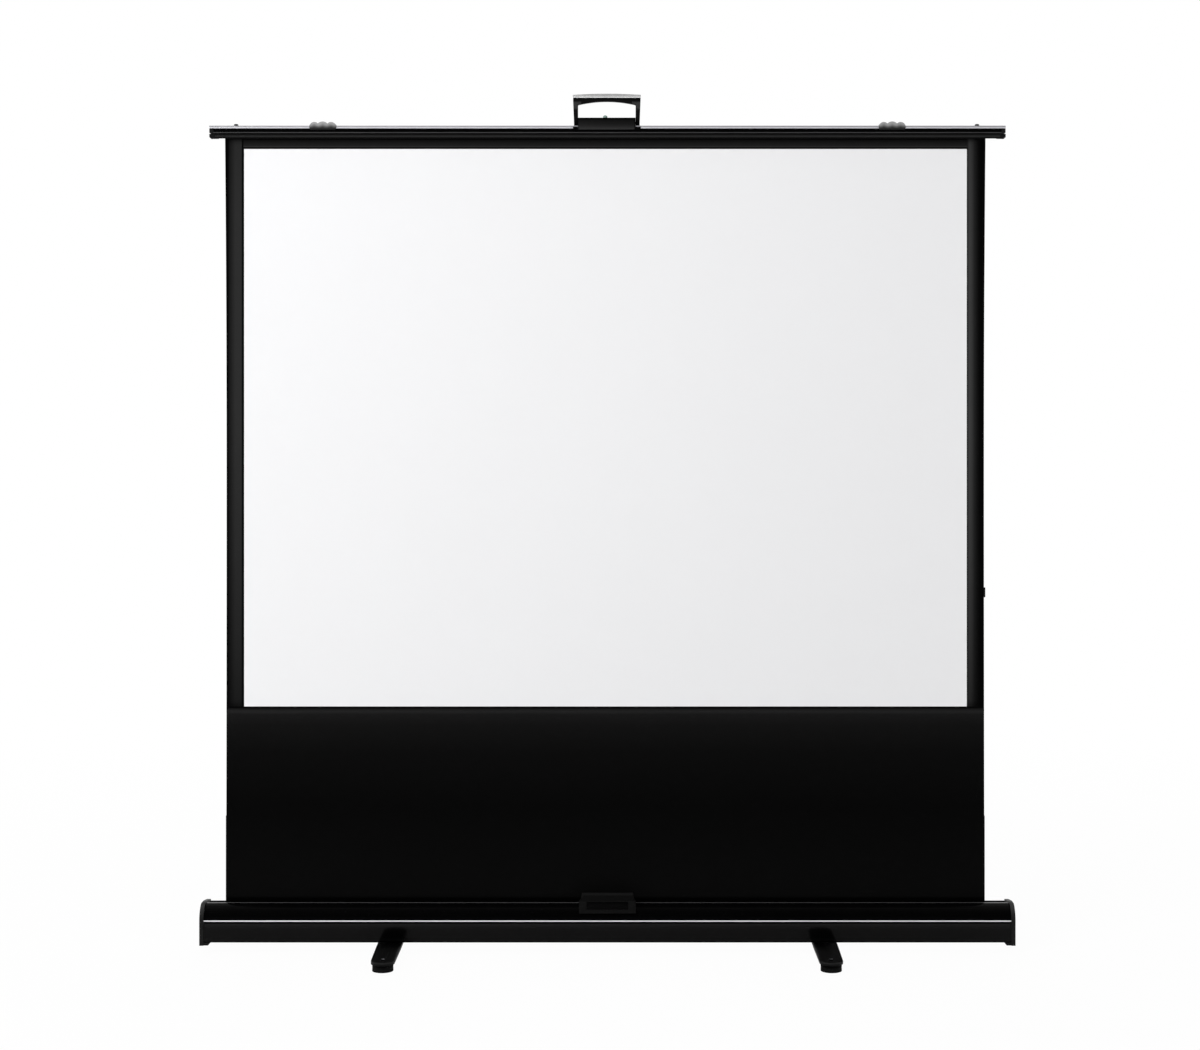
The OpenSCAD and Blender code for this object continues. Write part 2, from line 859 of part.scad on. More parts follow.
module handle_base() {
    hw = block_w / 2;
    front = bar_front_y + bar_wall - nose_r;
    color("#222224")
        translate([-handle_left, 0, 0]) difference() {
            union() {
                span(-hw, hw, block_front, block_front + block_d, bar_top, block_z);
                span(-hw, hw, skirt_y, block_front + 1, skirt_z, skirt_top);
                span(-bail_w / 2, bail_w / 2, skirt_y, front, skirt_z, bar_top - 3);
                // hinge pins of the handle
                translate([0, hinge_y, hinge_z]) rotate([0, 90, 0])
                    translate([0, 0, bail_taper + 1 - bail_w / 2])
                        cylinder(r = hinge_r, h = bail_w - 2 * bail_taper - 2);
            }
            span(-bail_w, bail_w, front, 60, bar_z, bar_top);
            translate([-button_left, button_y, button_z]) cylinder(r = button_r + run_gap, h = 20);
        }
}

module bail_opening() {
    ow = bail_w / 2 - bail_leg_w;
    arch_r = (ow * ow + grip_arch * grip_arch) / (2 * grip_arch);
    intersection() {
        translate([-ow, -20]) square([2 * ow, bail_rise + 20]);
        translate([0, bail_rise - grip_h - arch_r]) circle(r = arch_r, $fn = 720);
    }
}

module handle_bail() {
    hw = bail_w / 2;
    foot = hw - bail_taper;
    ow = hw - bail_leg_w;
    top = bail_rise - strip_t;
    color("#141416")
        translate([-handle_left, hinge_y, hinge_z])
            difference() {
                union() {
                    along_y(-bail_t / 2, bail_t / 2)
                        difference() {
                            polygon([
                                [-foot, 0], [foot, 0], [hw, top - 6],
                                [hw, top], [-hw, top], [-hw, top - 6]
                            ]);
                            bail_opening();
                        }
                    for (s = [-1, 1])
                        translate([s * (foot + ow) / 2, 0, 0]) rotate([0, 90, 0])
                            translate([0, 0, (ow - foot) / 2]) cylinder(r = bail_t / 2, h = foot - ow);
                }
                translate([-hw - 1, 0, 0]) rotate([0, 90, 0])
                    cylinder(r = hinge_r + run_gap, h = bail_w + 2);
            }
}

// bright strip along the top of the grip, flat below and crowned above
module grip_strip() {
    hw = bail_w / 2 + 0.7;
    crown_r = (hw * hw + grip_crown * grip_crown) / (2 * grip_crown);
    color("#c9c9cc")
        translate([-handle_left, hinge_y, hinge_z])
            along_y(-bail_t / 2 - 0.5, bail_t / 2 + 0.5)
                intersection() {
                    translate([-hw, bail_rise - strip_t]) square([2 * hw, strip_t + 1]);
                    translate([0, bail_rise - crown_r]) circle(r = crown_r, $fn = 720);
                }
}

// domed button in the top of the handle block, raised off its seat by its travel
module release_button() {
    dome = 3.4;
    ball_r = (button_r * button_r + dome * dome) / (2 * dome);
    color("#7f9f93")
        translate([-handle_left - button_left, button_y, button_z + button_travel + face_gap]) {
            cylinder(r = button_r, h = button_seat + button_proud);
            intersection() {
                cylinder(r = button_r, h = button_seat + button_proud + dome + 1);
                translate([0, 0, button_seat + button_proud + dome - ball_r]) sphere(ball_r);
            }
        }
}

// Legs and feet

module leg() {
    tip = leg_tip_w / 2;
    mid = leg_w / 2;
    difference() {
        translate([0, 0, leg_z])
            linear_extrude(leg_t)
                union() {
                    polygon([
                        [-tip, -foot_y], [tip, -foot_y], [mid, -50], [mid, 50], [tip, foot_y],
                        [-tip, foot_y], [-mid, 50], [-mid, -50]
                    ]);
                    for (s = [-1, 1])
                        translate([0, s * foot_y]) circle(tip);
                }
        for (s = [-1, 1])
            translate([0, s * foot_y, leg_z - 1]) cylinder(r = stud_r + run_gap, h = leg_t + 2);
        translate([0, 0, leg_z - 1]) cylinder(r = bolt_r + run_gap, h = leg_t + 2);
    }
}

module leg_left() {
    color("#121214") translate([-leg_x, 0, 0]) leg();
}

module leg_right() {
    color("#121214") translate([leg_x, 0, 0]) leg();
}

// bolt that carries a leg, with its spacer and its nut inside the case
module leg_pivot() {
    head_h = 4;
    translate([0, 0, leg_z - face_gap - head_h]) cylinder(r = 9, h = head_h);
    translate([0, 0, leg_z - face_gap - 1]) cylinder(r = bolt_r, h = floor_z - leg_z + 4);
    translate([0, 0, case_z - spacer_t]) cylinder(r = 20, h = spacer_t);
    translate([0, 0, floor_z]) cylinder(r = 8, h = 5);
}

module leg_pivot_left() {
    color("#8b8d90") translate([-leg_x, 0, 0]) leg_pivot();
}

module leg_pivot_right() {
    color("#8b8d90") translate([leg_x, 0, 0]) leg_pivot();
}

// levelling foot: a grooved disc and its screw, which comes up through the leg
module foot() {
    r = disc_d / 2;
    groove_z = disc_h * 0.45;
    cylinder(r = r, h = groove_z);
    cylinder(r = r - 1.6, h = disc_h);
    translate([0, 0, groove_z + 2]) cylinder(r = r, h = disc_h - groove_z - 2);
    cylinder(r = 7, h = leg_z - face_gap);
    difference() {
        cylinder(r = stud_r, h = stud_top);
        translate([-stud_r, -0.6, stud_top - 1.5]) cube([2 * stud_r, 1.2, 3]);
    }
}

module foot_front_left() {
    color("#17171a") translate([-leg_x, -foot_y, 0]) foot();
}

module foot_rear_left() {
    color("#17171a") translate([-leg_x, foot_y, 0]) foot();
}

module foot_front_right() {
    color("#17171a") translate([leg_x, -foot_y, 0]) foot();
}

module foot_rear_right() {
    color("#17171a") translate([leg_x, foot_y, 0]) foot();
}

base_channel();
front_cover();
trim_strip();
end_cap_left();
end_cap_right();
latch_base();
latch_housing();
badge_plate();
roller_bracket_left();
roller_bracket_right();
roller_axle();
base_bracket_a();
base_bracket_b();
base_spring_a();
base_spring_b();
leg_pivot_left();
leg_pivot_right();
screen_sheet();
drop_cloth();
leader_cloth();
roller_tube();
roller_plug_left();
roller_plug_right();
roller_spring();
cloth_turns();
lower_tube_a();
base_fork_a();
elbow_fork_a();
elbow_pin_a();
upper_tube_a();
elbow_tongue_a();
top_eye_a();
lower_tube_b();
base_fork_b();
elbow_fork_b();
elbow_pin_b();
upper_tube_b();
elbow_tongue_b();
top_eye_b();
bar_channel();
bar_top_strip();
bar_cap_left();
bar_cap_right();
hem_strip();
bumper_left();
bumper_right();
top_bracket_a();
top_bracket_b();
handle_base();
handle_bail();
grip_strip();
release_button();
leg_left();
leg_right();
foot_front_left();
foot_rear_left();
foot_front_right();
foot_rear_right();
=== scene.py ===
import bmesh
import bpy
import json
import math
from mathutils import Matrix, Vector, noise


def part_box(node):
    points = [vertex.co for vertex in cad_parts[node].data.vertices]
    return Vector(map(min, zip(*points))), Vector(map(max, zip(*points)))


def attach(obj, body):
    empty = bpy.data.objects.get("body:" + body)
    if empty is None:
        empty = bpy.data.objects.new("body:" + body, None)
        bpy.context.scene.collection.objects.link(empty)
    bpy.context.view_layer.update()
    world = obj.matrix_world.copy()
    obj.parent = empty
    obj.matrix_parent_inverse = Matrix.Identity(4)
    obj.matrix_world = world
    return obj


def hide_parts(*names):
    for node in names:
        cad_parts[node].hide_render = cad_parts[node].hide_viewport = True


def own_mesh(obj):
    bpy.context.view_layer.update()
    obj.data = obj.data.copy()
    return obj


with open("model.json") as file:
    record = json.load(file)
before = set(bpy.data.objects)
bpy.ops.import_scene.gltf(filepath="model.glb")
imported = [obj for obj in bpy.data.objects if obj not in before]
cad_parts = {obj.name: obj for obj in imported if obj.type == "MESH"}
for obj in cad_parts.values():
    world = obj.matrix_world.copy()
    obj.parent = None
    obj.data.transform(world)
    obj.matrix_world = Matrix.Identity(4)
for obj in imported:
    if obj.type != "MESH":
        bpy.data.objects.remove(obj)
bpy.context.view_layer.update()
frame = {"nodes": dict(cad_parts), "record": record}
nodes = frame["nodes"]
record = frame["record"]
print("frame loaded:", len(nodes), "nodes")

scene = bpy.context.scene
scene.view_settings.view_transform = "Standard"

# helpers for objects and node trees


def addObject(name, mesh):
    obj = bpy.data.objects.new(name, mesh)
    scene.collection.objects.link(obj)
    return obj


def connect(tree, socket, value):
    # a plain value is set, another socket is linked
    if isinstance(value, bpy.types.NodeSocket):
        tree.links.new(value, socket)
    else:
        socket.default_value = value


def setInputs(tree, node, **values):
    for label, value in values.items():
        connect(tree, node.inputs[label.replace("_", " ")], value)


def addNode(tree, kind, **values):
    node = tree.nodes.new(kind)
    setInputs(tree, node, **values)
    return node


def operate(tree, kind, operation, values):
    # a math node with its inputs filled in order
    node = tree.nodes.new(kind)
    node.operation = operation
    for socket, value in zip(node.inputs, values):
        connect(tree, socket, value)
    return node.outputs


def mathNode(tree, operation, *values):
    return operate(tree, "ShaderNodeMath", operation, values)[0]


def vectorNode(tree, operation, *values):
    return operate(tree, "ShaderNodeVectorMath", operation, values)


def mixShaders(tree, share, first, second):
    node = tree.nodes.new("ShaderNodeMixShader")
    for socket, value in zip(node.inputs, (share, first.outputs[0], second.outputs[0])):
        connect(tree, socket, value)
    return node


def coordinate(tree, kind="Object"):
    return tree.nodes.new("ShaderNodeTexCoord").outputs[kind]


def placeOf(tree, kind="Object"):
    # X, Y and Z of a coordinate
    return addNode(tree, "ShaderNodeSeparateXYZ", Vector=coordinate(tree, kind)).outputs


# camera, lamps and floor
cameraSet = {
    "place": (0.03, -5.003, 1.2455), "pitch": 90.0,
    "lens": 67.44, "sensor": 36.0,
    "shiftX": -0.0175, "shiftY": -0.1125,
    "farClip": 200.0,
}

studioSet = {
    "worldStrength": 0.42,
    # strength of the room in front, and the directions from front to back where it brightens
    "roomFront": 0.12, "dimUpTo": -0.75, "brightFrom": 0.15,
    "aim": (0.1, 0.0, 1.0),
    "lamps": {
        "keyLamp": {"place": (-2.6, -3.4, 3.1), "size": 2.6, "watts": 134.0},
        "fillLamp": {"place": (3.0, -3.6, 1.6), "size": 2.6, "watts": 28.0},
        "backLamp": {"place": (0.0, 3.4, 2.6), "size": 3.0, "watts": 60.0},
    },
    "floorHalf": 30.0, "floorGrey": 0.95,
    # share of white that the camera sees in the floor, full beyond the far radius
    "floorLift": 0.97, "nearFloor": 1.2, "farFloor": 3.6,
}


def makeCamera(s):
    data = bpy.data.cameras.new("photoCamera")
    data.lens = s["lens"]
    data.sensor_width = s["sensor"]
    data.shift_x = s["shiftX"]
    data.shift_y = s["shiftY"]
    data.clip_end = s["farClip"]
    scene.camera = addObject("photoCamera", data)
    scene.camera.location = s["place"]
    scene.camera.rotation_euler = (math.radians(s["pitch"]), 0, 0)


def makeLamp(name, s, aim):
    # a soft lamp that lights the object without showing as a bright square in its gloss
    data = bpy.data.lights.new(name, "AREA")
    data.shape = "SQUARE"
    data.size = s["size"]
    data.energy = s["watts"]
    lamp = addObject(name, data)
    lamp.location = s["place"]
    lamp.visible_glossy = False
    way = Vector(aim) - Vector(s["place"])
    lamp.rotation_euler = way.to_track_quat("-Z", "Y").to_euler()


def makeWorld(s):
    # plain light for surfaces, a white background for the camera, and for gloss a room
    # that is dim in front of the object and bright above and behind it
    world = bpy.data.worlds.new("studio")
    scene.world = world
    world.use_nodes = True
    tree = world.node_tree
    tree.nodes.clear()
    path = tree.nodes.new("ShaderNodeLightPath").outputs
    fade = addNode(tree, "ShaderNodeMapRange", Value=placeOf(tree, "Generated")["Y"],
                   From_Min=s["dimUpTo"], From_Max=s["brightFrom"],
                   To_Min=s["roomFront"], To_Max=1.0)
    fade.interpolation_type = "SMOOTHSTEP"
    plain = addNode(tree, "ShaderNodeBackground", Strength=s["worldStrength"])
    white = (1, 1, 1, 1)
    room = addNode(tree, "ShaderNodeBackground", Color=white, Strength=fade.outputs["Result"])
    seen = addNode(tree, "ShaderNodeBackground", Color=white)
    lit = mixShaders(tree, path["Is Glossy Ray"], plain, room)
    straight = mathNode(tree, "MAXIMUM", path["Is Camera Ray"], path["Is Transmission Ray"])
    both = mixShaders(tree, straight, lit, seen)
    addNode(tree, "ShaderNodeOutputWorld", Surface=both.outputs[0])


def makeFloor(s):
    # a pale floor that takes shadows near the object and is white farther away
    half = s["floorHalf"]
    corners = [(-half, -half, 0), (half, -half, 0), (half, half, 0), (-half, half, 0)]
    mesh = bpy.data.meshes.new("studioFloor")
    mesh.from_pydata(corners, [], [(0, 1, 2, 3)])
    floor = addObject("studioFloor", mesh)
    mat = bpy.data.materials.new("paleFloor")
    mat.use_nodes = True
    tree = mat.node_tree
    tree.nodes.clear()
    matt = addNode(tree, "ShaderNodeBsdfDiffuse", Color=(*[s["floorGrey"]] * 3, 1))
    glow = addNode(tree, "ShaderNodeEmission", Strength=1.0)
    away = vectorNode(tree, "LENGTH", coordinate(tree))["Value"]
    white = addNode(tree, "ShaderNodeMapRange", Value=away, From_Min=s["nearFloor"],
                    From_Max=s["farFloor"], To_Min=s["floorLift"], To_Max=1.0)
    path = tree.nodes.new("ShaderNodeLightPath").outputs
    seen = mathNode(tree, "MULTIPLY", white.outputs["Result"], path["Is Camera Ray"])
    mix = mixShaders(tree, seen, matt, glow)
    addNode(tree, "ShaderNodeOutputMaterial", Surface=mix.outputs[0])
    mesh.materials.append(mat)


makeCamera(cameraSet)
makeWorld(studioSet)
makeFloor(studioSet)
for lampName, lampSet in studioSet["lamps"].items():
    makeLamp(lampName, lampSet, studioSet["aim"])
print("studio ready")

# shader groups


def newGroup(name, inputs, outputs):
    tree = bpy.data.node_groups.new(name, "ShaderNodeTree")
    for label, kind, value in inputs:
        sock = tree.interface.new_socket(name=label, in_out="INPUT", socket_type=kind)
        sock.default_value = value
    for label, kind in outputs:
        tree.interface.new_socket(name=label, in_out="OUTPUT", socket_type=kind)
    return tree, tree.nodes.new("NodeGroupInput"), tree.nodes.new("NodeGroupOutput")


def makeGrainGroup():
    # fine grain, stretched along any axis: brushing, moulding texture or lacquer
    tree, gin, gout = newGroup(
        "fineGrain",
        [("Stretch", "NodeSocketVector", (900, 900, 900)), ("Detail", "NodeSocketFloat", 3.0)],
        [("Value", "NodeSocketFloat"), ("Height", "NodeSocketFloat")])
    stretched = vectorNode(tree, "MULTIPLY", coordinate(tree), gin.outputs["Stretch"])[0]
    grain = addNode(tree, "ShaderNodeTexNoise", Vector=stretched, Scale=1.0, Roughness=0.6,
                    Detail=gin.outputs["Detail"]).outputs["Fac"]
    setInputs(tree, gout, Value=grain, Height=mathNode(tree, "SUBTRACT", grain, 0.5))
    return tree


def makeWeaveGroup():
    # plain weave of a coated cloth, with uneven threads
    tree, gin, gout = newGroup(
        "clothWeave",
        [("Threads per metre", "NodeSocketFloat", 900.0), ("Unevenness", "NodeSocketFloat", 0.3)],
        [("Value", "NodeSocketFloat"), ("Height", "NodeSocketFloat")])
    place = placeOf(tree)
    slub = addNode(tree, "ShaderNodeTexNoise", Vector=coordinate(tree), Scale=60.0, Detail=4.0)
    turn = mathNode(tree, "MULTIPLY", gin.outputs["Threads per metre"], math.pi)
    warp = mathNode(tree, "SINE", mathNode(tree, "MULTIPLY", place["X"], turn))
    weft = mathNode(tree, "SINE", mathNode(tree, "MULTIPLY", place["Z"], turn))
    both = mathNode(tree, "MULTIPLY", warp, weft)
    uneven = mathNode(tree, "SUBTRACT", slub.outputs["Fac"], 0.5)
    rough = mathNode(tree, "MULTIPLY", uneven, gin.outputs["Unevenness"])
    total = mathNode(tree, "ADD", mathNode(tree, "MULTIPLY", both, 0.5), rough)
    setInputs(tree, gout, Value=mathNode(tree, "ADD", total, 0.5), Height=total)
    return tree


def makeDustGroup():
    # thin settled dust on faces that look up, in patches
    tree, gin, gout = newGroup(
        "settledDust",
        [("Amount", "NodeSocketFloat", 0.15), ("Patch scale", "NodeSocketFloat", 24.0)],
        [("Mask", "NodeSocketFloat")])
    patch = addNode(tree, "ShaderNodeTexNoise", Vector=coordinate(tree), Detail=6.0,
                    Scale=gin.outputs["Patch scale"])
    up = mathNode(tree, "MAXIMUM", placeOf(tree, "Normal")["Z"], 0.0)
    worn = mathNode(tree, "MULTIPLY", mathNode(tree, "POWER", patch.outputs["Fac"], 2.0), up)
    setInputs(tree, gout, Mask=mathNode(tree, "MULTIPLY", worn, gin.outputs["Amount"]))
    return tree


groups = {"grain": makeGrainGroup(), "weave": makeWeaveGroup(), "dust": makeDustGroup()}

# materials


def startMaterial(name):
    mat = bpy.data.materials.new(name)
    mat.use_nodes = True
    tree = mat.node_tree
    return mat, tree, tree.nodes["Principled BSDF"]


def groupNode(tree, name, **values):
    node = tree.nodes.new("ShaderNodeGroup")
    node.node_tree = groups[name]
    setInputs(tree, node, **values)
    return node.outputs


def scaled(colour, share):
    return [part * share for part in colour]


def mixColours(tree, factor, a, b):
    node = tree.nodes.new("ShaderNodeMix")
    node.data_type = "RGBA"
    for label, value in (("Factor", factor), ("A", a), ("B", b)):
        if isinstance(value, (tuple, list)):
            value = (*value, 1)
        connect(tree, node.inputs[label], value)
    return [o for o in node.outputs if o.type == "RGBA"][0]


def rampTo(tree, value, low, high):
    node = addNode(tree, "ShaderNodeMapRange", Value=value, To_Min=low, To_Max=high)
    return node.outputs["Result"]


surfaceSet = {
    # how far gloss follows the grain and drifts over the surface, and the dust's colour
    "glossSpread": 0.15, "glossDrift": 0.04, "driftStretch": (9, 9, 9),
    "bumpDepth": 0.0002, "dustColour": (0.3, 0.29, 0.28),
}


def surfaceMaterial(name, s):
    # one finish: colour and gloss vary with the grain, dust lies on top faces
    mat, tree, shader = startMaterial(name)
    t = surfaceSet
    grain = groupNode(tree, "grain", Stretch=s["stretch"], Detail=s.get("detail", 3.0))
    broad = groupNode(tree, "grain", Stretch=t["driftStretch"], Detail=2.0)
    shade = mixColours(tree, grain["Value"], scaled(s["colour"], 1 - s["vary"]),
                       scaled(s["colour"], 1 + s["vary"]))
    if "dust" in s:
        dust = groupNode(tree, "dust", Amount=s["dust"])
        shade = mixColours(tree, dust["Mask"], shade, t["dustColour"])
    fine = rampTo(tree, grain["Value"], s["rough"] * (1 - t["glossSpread"]),
                  s["rough"] * (1 + t["glossSpread"]))
    drift = rampTo(tree, broad["Value"], -t["glossDrift"], t["glossDrift"])
    bump = addNode(tree, "ShaderNodeBump", Strength=s["bump"], Distance=t["bumpDepth"],
                   Height=grain["Height"])
    setInputs(tree, shader, Base_Color=shade, Roughness=mathNode(tree, "ADD", fine, drift),
              Metallic=s.get("metal", 0.0), Specular_IOR_Level=s.get("specular", 0.5),
              Normal=bump.outputs["Normal"])
    return mat


finishSet = {
    # slots of the record, and faces that differ from the finish of their slot
    "satin_black": {
        "colour": (0.0056, 0.0056, 0.006), "rough": 0.42, "specular": 0.12, "vary": 0.12,
        "stretch": (6, 1600, 1600), "bump": 0.10, "dust": 0.02,
    },
    "gloss_black": {
        "colour": (0.0007, 0.0007, 0.0008), "rough": 0.22, "specular": 0.05, "vary": 0.1,
        "stretch": (5, 900, 900), "bump": 0.06, "dust": 0.005,
    },
    "case_front": {
        "colour": (0.0008, 0.0008, 0.0009), "rough": 0.10, "specular": 0.124, "vary": 0.1,
        "stretch": (6, 1600, 1600), "bump": 0.02,
    },
    "cover_gloss": {
        "colour": (0.0007, 0.0007, 0.0008), "rough": 0.22, "specular": 0.032, "vary": 0.1,
        "stretch": (5, 900, 900), "bump": 0.06, "dust": 0.004,
    },
    "trim_line": {
        "colour": (0.94, 0.93, 0.97), "rough": 0.34, "metal": 0.2, "vary": 0.04,
        "stretch": (7, 2200, 2200), "bump": 0.08,
    },
    # painted highlight on the top of the cover's lip
    "lip_edge": {
        "colour": (0.08, 0.08, 0.082), "rough": 0.4, "specular": 0.3, "vary": 0.15,
        "stretch": (6, 1600, 1600), "bump": 0.08,
    },
    "bright_trim": {
        "colour": (0.69, 0.685, 0.70), "rough": 0.34, "metal": 0.3, "vary": 0.05,
        "stretch": (7, 2200, 2200), "bump": 0.08,
    },
    "cap_black": {
        "colour": (0.0075, 0.0075, 0.0078), "rough": 0.5, "specular": 0.15, "vary": 0.15,
        "stretch": (1500, 1500, 1500), "bump": 0.25, "dust": 0.02,
    },
    "latch_black": {
        "colour": (0.0042, 0.0042, 0.0044), "rough": 0.5, "specular": 0.06, "vary": 0.2,
        "stretch": (1800, 1800, 1800), "bump": 0.3, "dust": 0.02,
    },
    "badge_black": {
        "colour": (0.0006, 0.0006, 0.0007), "rough": 0.3, "specular": 0.05, "vary": 0.1,
        "stretch": (700, 700, 700), "bump": 0.03,
    },
    "steel": {
        "colour": (0.5, 0.51, 0.53), "rough": 0.34, "metal": 1.0, "vary": 0.1,
        "stretch": (300, 300, 300), "detail": 6.0, "bump": 0.12, "dust": 0.05,
    },
    "spring_steel": {
        "colour": (0.25, 0.255, 0.27), "rough": 0.3, "metal": 1.0, "vary": 0.12,
        "stretch": (900, 900, 900), "bump": 0.1,
    },
    "roller_metal": {
        "colour": (0.58, 0.585, 0.6), "rough": 0.38, "metal": 1.0, "vary": 0.06,
        "stretch": (8, 1400, 1400), "bump": 0.08,
    },
    "bumper_grey": {
        "colour": (0.2, 0.2, 0.202), "rough": 0.7, "specular": 0.3, "vary": 0.12,
        "stretch": (1100, 1100, 1100), "bump": 0.35, "dust": 0.1,
    },
    "handle_black": {
        "colour": (0.0048, 0.0048, 0.005), "rough": 0.42, "specular": 0.08, "vary": 0.15,
        "stretch": (1600, 1600, 1600), "bump": 0.2, "dust": 0.02,
    },
    "button_green": {
        "colour": (0.25, 0.35, 0.31), "rough": 0.3, "specular": 0.5, "vary": 0.05,
        "stretch": (800, 800, 800), "bump": 0.04,
    },
    "arm_black": {
        "colour": (0.012, 0.012, 0.0125), "rough": 0.4, "specular": 0.4, "vary": 0.12,
        "stretch": (60, 1500, 1500), "bump": 0.08, "dust": 0.03,
    },
    "arm_fitting": {
        "colour": (0.17, 0.172, 0.178), "rough": 0.45, "metal": 0.8, "vary": 0.14,
        "stretch": (520, 520, 520), "detail": 5.0, "bump": 0.3, "dust": 0.05,
    },
    "leg_black": {
        "colour": (0.003, 0.003, 0.0032), "rough": 0.48, "specular": 0.14, "vary": 0.15,
        "stretch": (1300, 1300, 1300), "bump": 0.3, "dust": 0.02,
    },
    "foot_black": {
        "colour": (0.0036, 0.0036, 0.0038), "rough": 0.55, "specular": 0.07, "vary": 0.15,
        "stretch": (1500, 1500, 1500), "bump": 0.3, "dust": 0.02,
    },
    # painted highlight: a pale line along the bar's low front edge
    "rubbed_edge": {
        "colour": (0.045, 0.045, 0.046), "rough": 0.4, "specular": 0.3, "vary": 0.15,
        "stretch": (6, 1600, 1600), "bump": 0.08,
    },
}

finishes = {}
for name, settings in finishSet.items():
    finishes[name] = surfaceMaterial(name.title().replace("_", ""), settings)

clothSet = {
    "white": (0.888, 0.888, 0.898),
    "maskEdge": 0.805,
    "sheetEdge": 0.844,
    "middle": -0.0048,
    "pictureTop": 1.7815,
    # grey of each side border from the picture outwards, and of the top border upwards in metres:
    # black print with painted light and shade, painted shadow under the bar at the top
    "leftBorder": [(0.0, 0.001), (0.085, 0.001), (0.1, 0.0242), (0.47, 0.0235), (0.7, 0.0115),
                   (0.81, 0.0068), (0.87, 0.0012), (1.0, 0.0005)],
    "rightBorder": [(0.0, 0.012), (0.1, 0.046), (0.14, 0.05), (0.32, 0.029), (0.39, 0.0165),
                    (0.57, 0.0048), (0.69, 0.0014), (1.0, 0.0003)],
    "topBorder": [(0.0, 0.003), (0.004, 0.003), (0.005, 0.03), (0.0075, 0.0105), (0.01, 0.0105),
                  (0.019, 0.0036), (0.022, 0.0008)],
    # grey of the black cloth at heights from the floor, with painted shadow at the bottom
    "drop": [(0.115, 0.0001), (0.12, 0.0026), (0.32, 0.0014), (0.44, 0.0028), (0.5, 0.0053),
             (0.524, 0.009), (0.53, 0.0163), (0.535, 0.01), (0.539, 0.001)],
    # painted shade: how strongly the side borders show at heights from the floor
    "borderFade": [(0.544, 0.18), (0.555, 0.38), (0.67, 0.6), (0.89, 0.84), (1.16, 1.0),
                   (1.64, 0.94), (1.793, 0.78), (1.805, 0.12)],
}


def clothMaterial(name, colour, rough, threads, bump, vary, specular=0.15):
    # woven cloth, a little darker in broad patches
    mat, tree, shader = startMaterial(name)
    weave = groupNode(tree, "weave", Threads_per_metre=threads)
    broad = groupNode(tree, "grain", Stretch=(3, 3, 3), Detail=2.0)
    dark, pale = scaled(colour, 1 - vary), scaled(colour, 1 + vary)
    shade = mixColours(tree, broad["Value"], dark, mixColours(tree, weave["Value"], dark, pale))
    gloss = rampTo(tree, weave["Value"], rough - 0.05, min(rough + 0.05, 1))
    relief = addNode(tree, "ShaderNodeBump", Strength=bump, Distance=0.0001, Height=weave["Height"])
    setInputs(tree, shader, Base_Color=shade, Roughness=gloss, Specular_IOR_Level=specular,
              Normal=relief.outputs["Normal"])
    return mat, tree, shader, weave["Value"]


def greyRamp(tree, value, stops, tint=(1, 1, 1)):
    # greys along a value, given as pairs of value and grey
    low, high = stops[0][0], stops[-1][0]
    span = addNode(tree, "ShaderNodeMapRange", Value=value, From_Min=low, From_Max=high)
    ramp = addNode(tree, "ShaderNodeValToRGB", Fac=span.outputs["Result"])
    while len(ramp.color_ramp.elements) < len(stops):
        ramp.color_ramp.elements.new(0.5)
    for element, (place, grey) in zip(ramp.color_ramp.elements, stops):
        element.position = (place - low) / (high - low)
        element.color = (*scaled(tint, grey), 1)
    return ramp.outputs["Color"]


def threadShade(tree, colour, weave):
    # the threads make any colour a little uneven
    node = tree.nodes.new("ShaderNodeVectorMath")
    node.operation = "SCALE"
    connect(tree, node.inputs[0], colour)
    setInputs(tree, node, Scale=rampTo(tree, weave, 0.85, 1.15))
    return node.outputs[0]


def borderMaterial(s):
    # printed black border with painted light and shade: lighter along its inner side, darkest at
    # the cut edge
    mat, tree, shader, weave = clothMaterial(
        "PrintedBorder", (0.01, 0.01, 0.01), 0.8, 1100.0, 0.2, 0.1, 0.06)
    place = placeOf(tree)
    side = mathNode(tree, "SUBTRACT", place["X"], s["middle"])
    out = mathNode(tree, "ABSOLUTE", side)
    across = addNode(tree, "ShaderNodeMapRange", Value=out, From_Min=s["maskEdge"],
                     From_Max=s["sheetEdge"]).outputs["Result"]
    left = greyRamp(tree, across, s["leftBorder"])
    right = greyRamp(tree, across, s["rightBorder"])
    full = mixColours(tree, mathNode(tree, "GREATER_THAN", side, 0.0), left, right)
    sides = vectorNode(tree, "MULTIPLY", full, greyRamp(tree, place["Z"], s["borderFade"]))[0]
    height = mathNode(tree, "SUBTRACT", place["Z"], s["pictureTop"])
    top = greyRamp(tree, height, s["topBorder"])
    inner = mathNode(tree, "LESS_THAN", out, s["maskEdge"])
    isTop = mathNode(tree, "MULTIPLY", mathNode(tree, "GREATER_THAN", height, 0.0), inner)
    shade = mixColours(tree, isTop, sides, top)
    setInputs(tree, shader, Base_Color=threadShade(tree, shade, weave))
    return mat


def dropMaterial(s):
    # black cloth: a little lighter at its joined top, with painted shadow at the bottom inside the
    # case
    mat, tree, shader, weave = clothMaterial(
        "DropCloth", (0.003, 0.003, 0.003), 0.8, 1000.0, 0.3, 0.15, 0.05)
    shade = greyRamp(tree, placeOf(tree)["Z"], s["drop"])
    setInputs(tree, shader, Base_Color=threadShade(tree, shade, weave))
    return mat


pictureCloth = clothMaterial("PictureCloth", clothSet["white"], 0.9, 1100.0, 0.15, 0.006)[0]
dropCloth = dropMaterial(clothSet)
backCloth = clothMaterial("BlackoutBacking", (0.016, 0.016, 0.017), 0.8, 1000.0, 0.3, 0.12)[0]
borderCloth = borderMaterial(clothSet)
print("materials ready:", len(bpy.data.materials))

